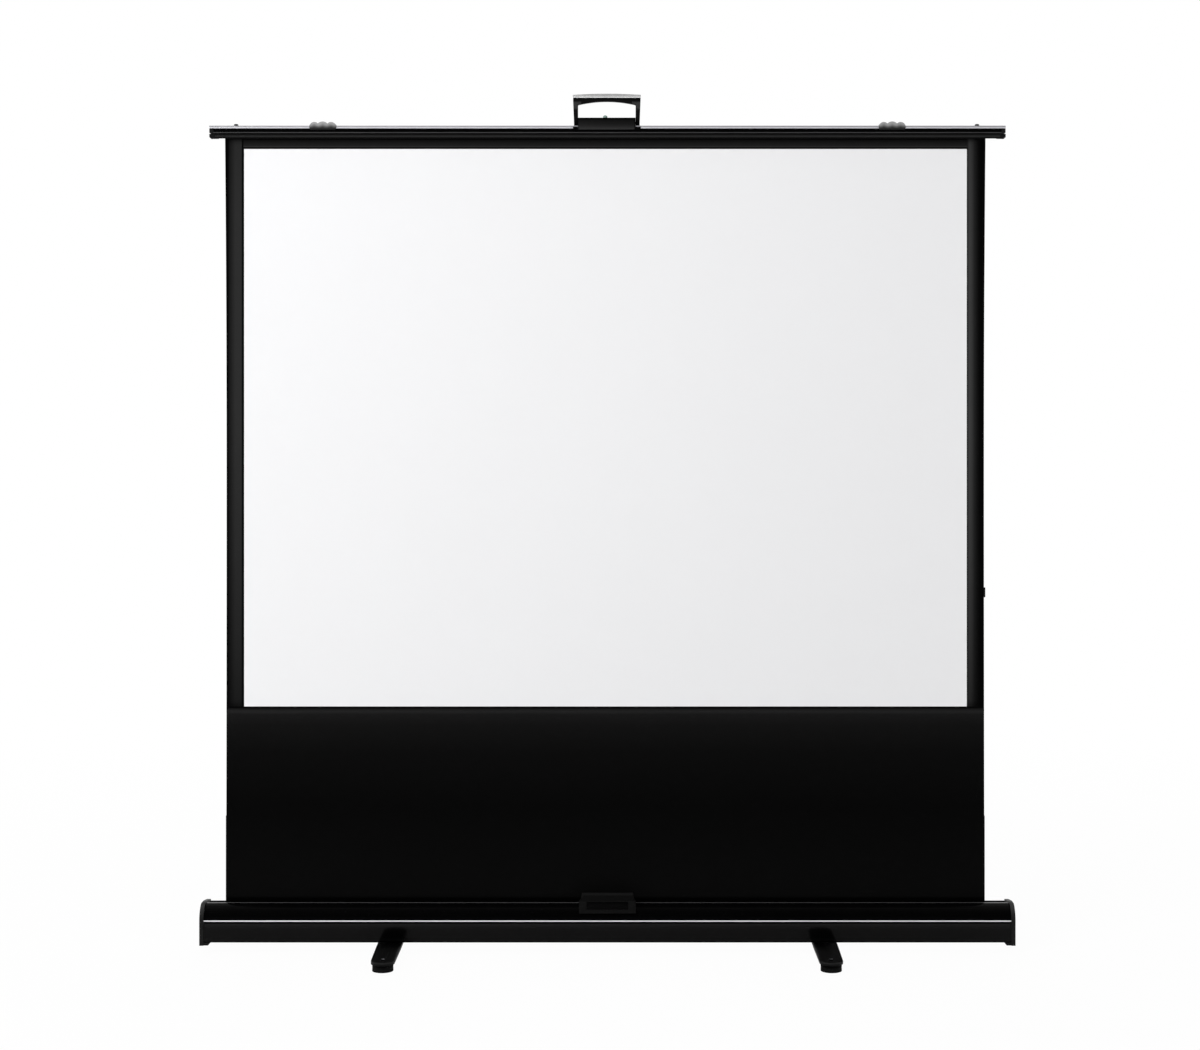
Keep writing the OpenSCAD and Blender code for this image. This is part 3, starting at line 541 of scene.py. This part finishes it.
bumperSet = {
    # painted light and shade: greys at heights from the floor, in the hollow between two lobes and
    # on the middle of one
    "middle": 0.630, "pitch": 0.0186, "spread": 0.008,
    "between": [(1.821, 0.001), (1.8245, 0.02), (1.8275, 0.095), (1.832, 0.32), (1.8395, 0.42)],
    "onLobe": [(1.821, 0.001), (1.8275, 0.033), (1.8345, 0.28), (1.8395, 0.4)],
}
barSet = {
    # grey of the low front face upwards from the bar's lower edge: painted shade under the bulge
    # and at the edge, a painted highlight band between
    "shades": [(0.001, 0.0003), (0.0022, 0.005), (0.0042, 0.026), (0.0055, 0.025), (0.0085, 0.005),
               (0.0105, 0.0012)],
}


def shadedCopy(name, finish, shadeOf):
    # a finish whose colour is made by shadeOf from the tree and the place on the object
    mat = surfaceMaterial(name, finishSet[finish])
    tree = mat.node_tree
    setInputs(tree, tree.nodes["Principled BSDF"], Base_Color=shadeOf(tree, placeOf(tree)))
    return mat


def bumperMaterial(s):
    # rounded rubber lobes: a painted highlight on the crown of each, painted shade in the hollow
    # below
    def shadeOf(tree, place):
        out = mathNode(tree, "ABSOLUTE", place["X"])
        along = mathNode(tree, "SUBTRACT", out, s["middle"])
        step = mathNode(tree, "ROUND", mathNode(tree, "DIVIDE", along, s["pitch"]))
        lobe = mathNode(tree, "MULTIPLY", step, s["pitch"])
        aside = mathNode(tree, "ABSOLUTE", mathNode(tree, "SUBTRACT", along, lobe))
        return mixColours(tree, mathNode(tree, "DIVIDE", aside, s["spread"]),
                          greyRamp(tree, place["Z"], s["onLobe"]),
                          greyRamp(tree, place["Z"], s["between"]))
    return shadedCopy("LobedRubber", "bumper_grey", shadeOf)


def barMaterial(s):
    # satin front under the bulge, with painted shade above and below and a painted highlight band
    # between
    def shadeOf(tree, place):
        low = mathNode(tree, "SUBTRACT", place["Z"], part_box("bar_channel")[0][2])
        return greyRamp(tree, low, s["shades"])
    return shadedCopy("ShadedSatin", "satin_black", shadeOf)


def bandedMaterial(name, finish, stops, axis="Z", tint=(1, 1, 1), sides=None):
    # a finish whose grey changes along one axis, with other greys beyond a distance to each side
    def shadeOf(tree, place):
        shade = greyRamp(tree, place[axis], stops, tint)
        if sides:
            away = mathNode(tree, "SUBTRACT", place["X"], sides["middle"])
            beyond = mathNode(tree, "GREATER_THAN", mathNode(tree, "ABSOLUTE", away), sides["half"])
            outer = greyRamp(tree, place[axis], sides["stops"], tint)
            shade = mixColours(tree, beyond, shade, outer)
        return shade
    return shadedCopy(name, finish, shadeOf)


def legTop(middle):
    # the top of a leg with painted shadow where it goes under the case, and its rounded edges
    # beyond half its width with a painted highlight
    return {
        "finish": "leg_black", "axis": "Y",
        "stops": [(-0.2, 0.005), (-0.078, 0.0038), (-0.066, 0.0003)],
        "sides": {"middle": middle, "half": 0.0325,
                  "stops": [(-0.2, 0.005), (-0.175, 0.008), (-0.13, 0.035), (-0.1, 0.04),
                            (-0.07, 0.025), (-0.055, 0.0003)]},
    }


bandSet = {
    # greys at places in metres along Z, or along the axis that is named; they are painted light and
    # shade
    # painted light and shade on the case's front: painted highlights just under the trim and just
    # above the bottom edge, painted shade at both edges
    "ChannelFront": {
        "finish": "case_front",
        "stops": [(0.031, 0.0002), (0.032, 0.0032), (0.036, 0.0009), (0.054, 0.0009),
                  (0.063, 0.0044), (0.065, 0.0066), (0.067, 0.0058), (0.068, 0.0006)],
    },
    # painted light and shade on the latch: painted shade on its step and top edge, a painted
    # highlight on the face above the step
    "LatchShades": {
        "finish": "latch_black",
        "stops": [(0.092, 0.0046), (0.118, 0.0053), (0.1195, 0.0028), (0.129, 0.0032),
                  (0.1305, 0.007), (0.1345, 0.007), (0.135, 0.002)],
    },
    # painted shade on the handle block: lighter towards the bottom, black along its top edge;
    # beyond the middle it is darker
    "BlockShades": {
        "finish": "handle_black",
        "stops": [(1.823, 0.028), (1.83, 0.014), (1.844, 0.0035), (1.8452, 0.0005)],
        "sides": {"middle": -0.0021, "half": 0.062, "stops": [(1.822, 0.0006), (1.8485, 0.0006)]},
    },
    # painted highlight on the upper part of the bail's legs beyond the middle, darker below and
    # above it
    "BailShades": {
        "finish": "handle_black",
        "stops": [(1.84, 0.0035), (1.9, 0.0035)],
        "sides": {"middle": -0.0021, "half": 0.0565,
                  "stops": [(1.84, 0.0015), (1.846, 0.005), (1.867, 0.0045), (1.873, 0.034),
                            (1.884, 0.034), (1.888, 0.003)]},
    },
    # painted shade on the grip strip: darker towards its top
    "GripShades": {"finish": "bright_trim", "stops": [(1.896, 1.0), (1.898, 0.61), (1.904, 0.46)]},
    # painted light and shade on the bar's silver strip: a painted shade line near its top edge,
    # darker towards its bottom; the tint is its own colour
    "StripShades": {
        "finish": "bright_trim", "tint": (1, 0.993, 1.05),
        "stops": [(1.824, 0.5), (1.8265, 0.71), (1.8284, 0.71), (1.829, 0.14), (1.8301, 0.14),
                  (1.8305, 0.85)],
    },
    # painted highlight on the upper part of each end cap, darker below and at the very top
    "CapShades": {
        "finish": "cap_black",
        "stops": [(0.076, 0.008), (0.085, 0.014), (0.104, 0.038), (0.112, 0.012)],
    },
    "LegTopLeft": legTop(-0.491),
    "LegTopRight": legTop(0.491),
    # painted highlight on the leg's inner side, brighter towards the case
    "LegSide": {
        "finish": "leg_black", "axis": "Y",
        "stops": [(-0.205, 0.012), (-0.19, 0.022), (-0.15, 0.045), (-0.05, 0.065)],
    },
    # painted highlight on the leg tip's end face over a painted shade line
    "LegTip": {"finish": "leg_black", "stops": [(0.018, 0.002), (0.0205, 0.014), (0.026, 0.017)]},
    # painted shadow at the bottom of each foot and in the gap under the leg
    "FootSide": {
        "finish": "foot_black",
        "stops": [(0.002, 0.0004), (0.0034, 0.006), (0.0088, 0.0068), (0.0096, 0.0003)],
    },
}
banded = {name: bandedMaterial(name, **settings) for name, settings in bandSet.items()}
lobedRubber, shadedSatin = bumperMaterial(bumperSet), barMaterial(barSet)

slotOf = {part["node"]: part["material_slot"] for part in record["subparts"]}
bodies = record["behaviour"]["bodies"]
bodyOf = {name: body for body, names in bodies.items() for name in names}

for name, obj in nodes.items():
    slotName = slotOf[name]
    look = finishes.get(slotName) or (pictureCloth if slotName == "cloth_white" else dropCloth)
    if not obj.material_slots:
        obj.data.materials.append(look)
    for place in obj.material_slots:
        place.material = look

# helpers for pieces


def smooth(obj, degrees):
    obj.data.shade_smooth()
    obj.data.set_sharp_from_angle(angle=math.radians(degrees))


def settle(obj):
    # turns live modifiers into the plain mesh
    graph = bpy.context.evaluated_depsgraph_get()
    graph.update()
    mesh = bpy.data.meshes.new_from_object(obj.evaluated_get(graph))
    old = obj.data
    obj.modifiers.clear()
    obj.data = mesh
    mesh.name = obj.name
    if old.users == 0:
        bpy.data.meshes.remove(old)


# angles in degrees: edges sharper than sharp are rounded, faces within flat are joined
softSet = {"segments": 2, "sharp": 32, "weld": 1e-6, "flat": 0.5, "smooth": 40}


def softCopy(node, name, radius, s):
    # a copy of a CAD node with its sharp edges rounded off
    mesh = nodes[node].data.copy()
    mesh.name = name
    obj = addObject(name, mesh)
    bm = bmesh.new()
    bm.from_mesh(mesh)
    bmesh.ops.remove_doubles(bm, verts=bm.verts, dist=s["weld"])
    flat = math.radians(s["flat"])
    bmesh.ops.dissolve_limit(bm, angle_limit=flat, verts=bm.verts, edges=bm.edges)
    bm.to_mesh(mesh)
    bm.free()
    bevel = obj.modifiers.new("roundedEdges", "BEVEL")
    bevel.width = radius
    bevel.segments = s["segments"]
    bevel.limit_method = "ANGLE"
    bevel.angle_limit = math.radians(s["sharp"])
    bevel.harden_normals = False
    settle(obj)
    obj.data.materials.clear()
    obj.data.materials.append(finishes[slotOf[node]])
    smooth(obj, s["smooth"])
    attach(obj, bodyOf[node])
    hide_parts(node)
    return obj


def faceMaterial(obj, mat, choose):
    obj.data.materials.append(mat)
    index = len(obj.data.materials) - 1
    for face in obj.data.polygons:
        if choose(face):
            face.material_index = index


# screen cloth
sheetSet = {
    # edges of the cloth and of the picture
    "left": -0.8507, "right": 0.8408,
    "pictureLeft": -0.8083, "pictureRight": 0.7992,
    "pictureLow": 0.5415, "pictureHigh": 1.7815,
    # a raised band under the picture, and a seam below which the cloth is a little wider
    "bandLow": 0.5271, "bandHigh": 0.5387, "bandProud": 0.0003,
    "seam": 0.2991, "seamStep": 0.0010, "crease": 0.0006,
    "low": 0.058, "high": 1.8150, "folded": 0.1105,
    "waist": 0.0035, "footGain": 0.2, "front": -0.0030, "thick": 0.0006,
    # faces across the picture and each border, and between the marks from low to high
    "columns": 84, "borderColumns": 5, "rows": [14, 1, 12, 1, 2, 1, 1, 70, 3],
    # waves as height, scale in X, seed and scale in Z, and how they fade at top and bottom
    "ripple": 0.0006, "rippleLift": 1.0, "waves": [(1.0, 2.1, 3.7, 0.9), (0.35, 9.0, 1.2, 1.6)],
    "stillTop": 0.03, "fadeTop": 0.35, "stillLow": 0.13, "fadeLow": 0.2,
}


def makeScreenCloth(s):
    count, sides = s["columns"], s["borderColumns"]
    wide = s["pictureRight"] - s["pictureLeft"]
    columns = [("left", i / sides) for i in range(sides)]
    columns += [("picture", s["pictureLeft"] + wide * i / count) for i in range(count + 1)]
    columns += [("right", (i + 1) / sides) for i in range(sides)]
    crease = s["crease"]
    marks = [s["low"], s["seam"] - crease, s["seam"], s["bandLow"], s["bandLow"] + crease,
             s["bandHigh"] - crease, s["bandHigh"], s["pictureLow"], s["pictureHigh"], s["high"]]
    levels = []
    for low, high, steps in zip(marks, marks[1:], s["rows"]):
        levels += [low + (high - low) * i / steps for i in range(steps)]
    levels.append(marks[-1])
    mid = (s["seam"] + s["high"]) / 2
    half = (s["high"] - s["seam"]) / 2

    def pointAt(column, z, back):
        share = 1.0 if z > mid else s["footGain"]
        pull = s["waist"] * (1 - share * min(1.0, abs((z - mid) / half)) ** 2)
        step = s["seamStep"] if z < s["seam"] - crease / 2 else 0.0
        left, right = s["left"] + pull - step, s["right"] - pull + step
        part, value = column
        if part == "left":
            x = left + (s["pictureLeft"] - left) * value
        elif part == "right":
            x = s["pictureRight"] + (right - s["pictureRight"]) * value
        else:
            x = value
        fromTop = min(1.0, max(0.0, (s["high"] - s["stillTop"] - z) / s["fadeTop"]))
        fromLow = min(1.0, max(0.0, (z - s["stillLow"]) / s["fadeLow"]))
        wave = sum(height * noise.noise(Vector((x * scaleX, seed, z * scaleZ)))
                   for height, scaleX, seed, scaleZ in s["waves"])
        y = s["front"] + s["ripple"] * (wave + s["rippleLift"]) * fromTop * fromLow
        if s["bandLow"] + crease / 2 < z < s["bandHigh"] - crease / 2 and not back:
            y -= s["bandProud"]
        if back:
            y += s["thick"]
        return (x, y, z)

    cols, rows = len(columns), len(levels)
    points = [pointAt(column, z, False) for z in levels for column in columns]
    points += [pointAt(column, z, True) for z in levels for column in columns]
    # kinds are places in the list of materials below
    picture, border, drop, backing = range(4)
    faces, kinds = [], []
    shift = cols * rows
    for r in range(rows - 1):
        zMid = (levels[r] + levels[r + 1]) / 2
        for c in range(cols - 1):
            a = r * cols + c
            faces.append((a, a + 1, a + cols + 1, a + cols))
            inPicture = sides <= c < cols - 1 - sides
            if zMid < s["pictureLow"]:
                kinds.append(drop)
            elif zMid > s["pictureHigh"] or not inPicture:
                kinds.append(border)
            else:
                kinds.append(picture)
            faces.append((shift + a, shift + a + cols, shift + a + cols + 1, shift + a + 1))
            kinds.append(backing)
    for r in range(rows - 1):
        for c, flip in ((0, False), (cols - 1, True)):
            a = r * cols + c
            quad = (a, a + cols, shift + a + cols, shift + a)
            faces.append(quad[::-1] if flip else quad)
            kinds.append(drop if levels[r] < s["pictureLow"] else border)
    for c in range(cols - 1):
        for r, flip in ((0, True), (rows - 1, False)):
            a = r * cols + c
            quad = (a, a + 1, shift + a + 1, shift + a)
            faces.append(quad[::-1] if flip else quad)
            kinds.append(backing)
    mesh = bpy.data.meshes.new("screenCloth")
    mesh.from_pydata(points, [], faces)
    for mat in (pictureCloth, borderCloth, dropCloth, backCloth):
        mesh.materials.append(mat)
    cloth = addObject("screenCloth", mesh)
    bm = bmesh.new()
    bm.from_mesh(mesh)
    for face, kind in zip(bm.faces, kinds):
        face.material_index = kind
    bmesh.ops.recalc_face_normals(bm, faces=bm.faces)
    bm.to_mesh(mesh)
    bm.free()
    smooth(cloth, 50)
    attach(cloth, "case")
    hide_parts("screen_sheet", "drop_cloth", "leader_cloth")
    return cloth


tabSet = {
    "place": (0.8385, 0.7955), "size": (0.0036, 0.0022, 0.022), "bevel": 0.0004,
    "sunk": 0.0003, "pinOut": 0.0006, "pinRadius": 0.0011, "pinShare": 0.5, "pinApart": 0.0085,
}


def makeEdgeTab(s, front):
    # small dark clip on the right edge of the cloth
    x, z = s["place"]
    bm = bmesh.new()
    bmesh.ops.create_cube(bm, size=1.0)
    for v in bm.verts:
        sizes = [part * size for part, size in zip(v.co, s["size"])]
        v.co = Vector((x, front + s["sunk"], z)) + Vector(sizes)
    bmesh.ops.bevel(bm, geom=bm.edges[:], offset=s["bevel"], segments=2, affect="EDGES")
    for dz in (-s["pinApart"], s["pinApart"]):
        pin = bmesh.ops.create_uvsphere(bm, u_segments=12, v_segments=8, radius=s["pinRadius"])
        for v in pin["verts"]:
            y = front - s["pinOut"] + v.co.y * s["pinShare"]
            v.co = Vector((x + v.co.x, y, z + dz + v.co.z))
    mesh = bpy.data.meshes.new("edgeTab")
    bm.to_mesh(mesh)
    bm.free()
    mesh.materials.append(finishes["cap_black"])
    tab = addObject("edgeTab", mesh)
    smooth(tab, 40)
    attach(tab, "case")
    return tab


screenCloth = makeScreenCloth(sheetSet)
edgeTab = makeEdgeTab(tabSet, sheetSet["front"])
for piece in (screenCloth, edgeTab):
    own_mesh(piece)
print("screen cloth ready")

# rounded copies of CAD nodes
edgeSet = {
    # name of the copy and radius of its edges
    "end_cap_left": ("caseCapLeft", 0.0009), "end_cap_right": ("caseCapRight", 0.0009),
    "bar_cap_left": ("barCapLeft", 0.0007), "bar_cap_right": ("barCapRight", 0.0007),
    "bumper_left": ("bumperLeft", 0.0012), "bumper_right": ("bumperRight", 0.0012),
    "latch_housing": ("latchLever", 0.0010), "latch_base": ("latchFoot", 0.0004),
    "badge_plate": ("namePlate", 0.0004),
    "handle_base": ("handleBlock", 0.0009), "handle_bail": ("handleBail", 0.0012),
    "grip_strip": ("gripStrip", 0.0008), "release_button": ("releaseButton", 0.0005),
    "leg_left": ("legLeft", 0.0012), "leg_right": ("legRight", 0.0012),
    "leg_pivot_left": ("legPivotLeft", 0.0004), "leg_pivot_right": ("legPivotRight", 0.0004),
    "front_cover": ("frontCover", 0.0003), "base_channel": ("caseChannel", 0.0004),
    "trim_strip": ("trimLine", 0.0003),
    "bar_channel": ("barChannel", 0.0004), "bar_top_strip": ("barStrip", 0.0003),
    "hem_strip": ("hemStrip", 0.0003),
    "top_bracket_a": ("barBracketFront", 0.0004), "top_bracket_b": ("barBracketRear", 0.0004),
    "base_bracket_a": ("caseBracketFront", 0.0004), "base_bracket_b": ("caseBracketRear", 0.0004),
}
for foot in ("front_left", "rear_left", "front_right", "rear_right"):
    words = foot.split("_")
    edgeSet["foot_" + foot] = ("foot" + words[0].title() + words[1].title(), 0.0004)
armSet = {
    "lower_tube": ("lowerArm", 0.0012), "upper_tube": ("upperArm", 0.0012),
    "base_fork": ("footFork", 0.0006), "elbow_fork": ("elbowFork", 0.0006),
    "elbow_tongue": ("elbowTongue", 0.0006), "top_eye": ("topEye", 0.0006),
    "elbow_pin": ("elbowPin", 0.0003),
}
for pair, word in (("a", "Front"), ("b", "Rear")):
    for node, (label, radius) in armSet.items():
        edgeSet[node + "_" + pair] = (label + word, radius)

softPieces = {}
for node, (name, radius) in edgeSet.items():
    softPieces[node] = softCopy(node, name, radius, softSet)
print("rounded copies:", len(softPieces), "largest",
      max((len(p.data.polygons), p.name) for p in softPieces.values()))

faceSet = {
    # depths behind the bar's front and heights over its lower edge
    "glossDepth": 0.0008, "edgeDepth": 0.0016, "glossFrom": 0.0118,
    "lowFront": 0.015, "lowBack": 0.0195, "lowTop": 0.0105,
    # the cover's lip, the case's front with its long flat face, and the legs
    "lip": 0.0004, "channelDepth": 0.0012, "flatDepth": 0.0001, "flatArea": 0.001,
    "tipDepth": 0.03, "screwOver": 0.0002,
    # how far a face of a leg looks up, to its side or forwards
    "up": 0.9, "aside": 0.3, "forwards": -0.25,
}


def paintBar(s):
    # the upper front is glossy, the low edge gets a painted highlight, the face under the bulge
    # gets painted shade with a painted highlight band
    bar = softPieces["bar_channel"]
    (_, front, low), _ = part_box("bar_channel")
    split = low + s["glossFrom"]
    faceMaterial(bar, finishes["gloss_black"],
                 lambda f: f.center.y < front + s["glossDepth"] and f.center.z > split)
    # painted highlight on the faces of the low front edge
    faceMaterial(bar, finishes["rubbed_edge"],
                 lambda f: f.center.y < front + s["edgeDepth"] and f.center.z < split)
    faceMaterial(bar, shadedSatin,
                 lambda f: front + s["lowFront"] < f.center.y < front + s["lowBack"]
                 and f.center.z < low + s["lowTop"])


def paintCase(s):
    cover, channel = softPieces["front_cover"], softPieces["base_channel"]
    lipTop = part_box("front_cover")[1][2]
    # the lip's top faces get a painted highlight
    faceMaterial(cover, finishes["lip_edge"], lambda f: f.center.z > lipTop - s["lip"])
    cover.data.materials[0] = finishes["cover_gloss"]
    softPieces["trim_strip"].data.materials[0] = finishes["trim_line"]
    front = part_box("base_channel")[0][1]
    # the case's front takes painted highlights and painted shade
    faceMaterial(channel, banded["ChannelFront"], lambda f: f.center.y < front + s["channelDepth"])
    for face in channel.data.polygons:
        # the long flat front mirrors the floor, so its own normal counts
        if face.center.y < front + s["flatDepth"] and face.area > s["flatArea"]:
            face.use_smooth = False


def paintLeg(side, sign, s):
    leg = softPieces["leg_" + side]
    (_, tipY, _), (_, _, top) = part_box("leg_" + side)
    # painted shadow and painted highlights on the leg's top, side and tip
    faceMaterial(leg, banded["LegTop" + side.title()], lambda f: f.normal.z > s["up"])
    faceMaterial(leg, banded["LegSide"], lambda f: f.normal.x * sign > s["aside"])
    faceMaterial(leg, banded["LegTip"],
                 lambda f: f.normal.y < s["forwards"] and f.center.y < tipY + s["tipDepth"])
    for end in ("front", "rear"):
        foot = softPieces["foot_" + end + "_" + side]
        # the feet take painted shadow
        foot.data.materials[0] = banded["FootSide"]
        faceMaterial(foot, finishes["steel"], lambda f: f.center.z > top + s["screwOver"])


paintBar(faceSet)
paintCase(faceSet)
for side, sign in (("left", 1), ("right", -1)):
    paintLeg(side, sign, faceSet)
    faceMaterial(softPieces["bumper_" + side], lobedRubber, lambda f: True)
# these parts take painted light and shade from bandSet
lookOf = {
    "latch_housing": "LatchShades", "handle_base": "BlockShades", "handle_bail": "BailShades",
    "grip_strip": "GripShades", "bar_top_strip": "StripShades",
    "end_cap_left": "CapShades", "end_cap_right": "CapShades",
}
for node, look in lookOf.items():
    softPieces[node].data.materials[0] = banded[look]

# repeated pieces, made with Geometry Nodes


def growTree(name, **kinds):
    # an empty tree that takes points and the named values
    tree = bpy.data.node_groups.new(name, "GeometryNodeTree")
    ids = {}
    for label, kind in {"Points": "Geometry", **kinds}.items():
        socketType = "NodeSocket" + kind
        sock = tree.interface.new_socket(name=label, in_out="INPUT", socket_type=socketType)
        ids[label] = sock.identifier
    tree.interface.new_socket(name="Geometry", in_out="OUTPUT", socket_type="NodeSocketGeometry")
    return tree, tree.nodes.new("NodeGroupInput").outputs, ids


def copyToPoints(tree, given, shape, mat, rotation=None):
    # a copy of the shape on each point, as plain mesh in one material
    spread = addNode(tree, "GeometryNodeInstanceOnPoints", Points=given["Points"], Instance=shape)
    if rotation:
        setInputs(tree, spread, Rotation=rotation)
    real = addNode(tree, "GeometryNodeRealizeInstances", Geometry=spread.outputs["Instances"])
    paint = addNode(tree, "GeometryNodeSetMaterial", Geometry=real.outputs["Geometry"],
                    Material=mat)
    addNode(tree, "NodeGroupOutput", Geometry=paint.outputs["Geometry"])


def growPiece(name, tree, ids, values, points, body, degrees=40):
    mesh = bpy.data.meshes.new(name)
    mesh.from_pydata(points, [], [])
    obj = addObject(name, mesh)
    mod = obj.modifiers.new(tree.name, "NODES")
    mod.node_group = tree
    for label, value in values.items():
        mod[ids[label]] = value
    settle(obj)
    smooth(obj, degrees)
    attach(obj, body)
    return obj


def booleanNode(tree, operation, shapes):
    node = tree.nodes.new("GeometryNodeMeshBoolean")
    node.operation = operation
    node.solver = "EXACT"
    for shape in shapes:
        tree.links.new(shape, node.inputs["Mesh 2"])
    return node


screwSet = {
    "barX": (-0.823, 0.819), "barBehind": 0.0075, "barOver": 0.0002,
    "barRadius": 0.005, "barHeight": 0.00352,
    # Y and Z of the screws in each end of the case
    "capPlaces": [(0.0, 0.040), (0.022, 0.088), (-0.022, 0.052)],
    "capRadius": 0.0042, "capHeight": 0.0022,
    # the crown and the slots as shares of the head's radius and height
    "around": 28, "crownTop": 0.72, "crownTall": 0.45, "crownFrom": 0.5,
    "slotLong": 1.0, "slotWide": 0.22, "slotFrom": 0.75,
}


def screwTree(s, mat):
    # a low round head with a cross recess on each point, facing the given way
    tree, given, ids = growTree("screwHeads", Radius="Float", Height="Float", Turn="Vector")

    def part(label, share):
        return mathNode(tree, "MULTIPLY", given[label], share)

    def raised(shape, height):
        lift = addNode(tree, "ShaderNodeCombineXYZ", Z=height)
        return addNode(tree, "GeometryNodeTransform", Geometry=shape.outputs["Mesh"],
                       Translation=lift.outputs[0]).outputs["Geometry"]

    head = addNode(tree, "GeometryNodeMeshCylinder", Vertices=s["around"], Radius=given["Radius"],
                   Depth=given["Height"])
    crown = addNode(tree, "GeometryNodeMeshCone", Vertices=s["around"],
                    Radius_Bottom=given["Radius"], Radius_Top=part("Radius", s["crownTop"]),
                    Depth=part("Height", s["crownTall"]))
    union = booleanNode(tree, "UNION", [head.outputs["Mesh"],
                                        raised(crown, part("Height", s["crownFrom"]))])
    slots = []
    for wide, deep in ((s["slotLong"], s["slotWide"]), (s["slotWide"], s["slotLong"])):
        size = addNode(tree, "ShaderNodeCombineXYZ", X=part("Radius", wide), Y=part("Radius", deep),
                       Z=given["Height"])
        bar = addNode(tree, "GeometryNodeMeshCube", Size=size.outputs[0])
        slots.append(raised(bar, part("Height", s["slotFrom"])))
    cut = booleanNode(tree, "DIFFERENCE", slots)
    tree.links.new(union.outputs["Mesh"], cut.inputs["Mesh 1"])
    toTurn = tree.nodes.new("FunctionNodeEulerToRotation")
    connect(tree, toTurn.inputs[0], given["Turn"])
    copyToPoints(tree, given, cut.outputs["Mesh"], mat, toTurn.outputs[0])
    return tree, ids


def makeScrews(s):
    tree, ids = screwTree(s, finishes["satin_black"])
    (_, front, _), (_, _, top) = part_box("bar_top_strip")
    growPiece("barScrews", tree, ids,
              {"Radius": s["barRadius"], "Height": s["barHeight"], "Turn": (0, 0, 0)},
              [(x, front + s["barBehind"], top + s["barOver"]) for x in s["barX"]],
              "top_bar")
    for side, corner, sign in (("Left", 0, -1), ("Right", 1, 1)):
        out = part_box("end_cap_" + side.lower())[corner][0]
        turn = (0, math.radians(90 * sign), 0)
        growPiece("capScrews" + side, tree, ids,
                  {"Radius": s["capRadius"], "Height": s["capHeight"], "Turn": turn},
                  [(out, y, z) for y, z in s["capPlaces"]], "case")


def ridgeTree(mat):
    # fine ridges along the glossy cover: thin half-round beads on an arc of points
    tree, given, ids = growTree("coverRidges", Length="Float", Radius="Float")
    bead = addNode(tree, "GeometryNodeMeshCylinder", Vertices=8, Depth=given["Length"],
                   Radius=given["Radius"])
    lay = addNode(tree, "GeometryNodeTransform", Geometry=bead.outputs["Mesh"],
                  Rotation=(0, math.radians(90), 0))
    copyToPoints(tree, given, lay.outputs["Geometry"], mat)
    return tree, ids


ridgeSet = {
    "count": 9, "first": 14.0, "last": 74.0,
    "radius": 0.00045, "coverRadius": 0.0327, "latchGap": 0.003,
}


def makeRidges(s):
    low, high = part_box("front_cover")
    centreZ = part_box("trim_strip")[1][2]
    centreY = low[1] + s["coverRadius"]
    latchLow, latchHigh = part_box("latch_housing")
    clear = max(-latchLow[0], latchHigh[0]) + s["latchGap"]
    length = high[0] - clear
    tree, ids = ridgeTree(finishes["gloss_black"])
    points = []
    for i in range(s["count"]):
        angle = math.radians(s["first"] + (s["last"] - s["first"]) * i / (s["count"] - 1))
        y = centreY - s["coverRadius"] * math.cos(angle)
        z = centreZ + s["coverRadius"] * math.sin(angle)
        points += [(sign * (clear + length / 2), y, z) for sign in (-1, 1)]
    growPiece("coverRidges", tree, ids, {"Length": length, "Radius": s["radius"]}, points, "case",
              60)


def springTree(mat):
    # a round wire wound on a helix about Y
    tree, given, ids = growTree("woundSpring", Turns="Float", Radius="Float", Length="Float",
                                Wire="Float")
    helix = addNode(tree, "GeometryNodeCurveSpiral", Resolution=32, Rotations=given["Turns"],
                    Start_Radius=given["Radius"], End_Radius=given["Radius"],
                    Height=given["Length"])
    ring = addNode(tree, "GeometryNodeCurvePrimitiveCircle", Resolution=12, Radius=given["Wire"])
    wire = addNode(tree, "GeometryNodeCurveToMesh", Curve=helix.outputs["Curve"],
                   Profile_Curve=ring.outputs["Curve"], Fill_Caps=True)
    stand = addNode(tree, "GeometryNodeTransform", Geometry=wire.outputs["Mesh"],
                    Rotation=(math.radians(-90), 0, 0))
    copyToPoints(tree, given, stand.outputs["Geometry"], mat)
    return tree, ids


springSet = {"turns": 3.0, "wire": 0.0008}


def makeSprings(s):
    tree, ids = springTree(finishes["spring_steel"])
    wire = s["wire"]
    for pair, word in (("a", "Front"), ("b", "Rear")):
        node = "base_spring_" + pair
        low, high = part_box(node)
        start = ((low[0] + high[0]) / 2, low[1] + wire, (low[2] + high[2]) / 2)
        values = {"Turns": s["turns"], "Wire": wire, "Radius": (high[0] - low[0]) / 2 - wire,
                  "Length": high[1] - low[1] - 2 * wire}
        piece = growPiece("pivotSpring" + word, tree, ids, values, [start], "case",
                          60)
        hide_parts(node)


makeScrews(screwSet)
makeRidges(ridgeSet)
makeSprings(springSet)
print("repeated pieces ready")
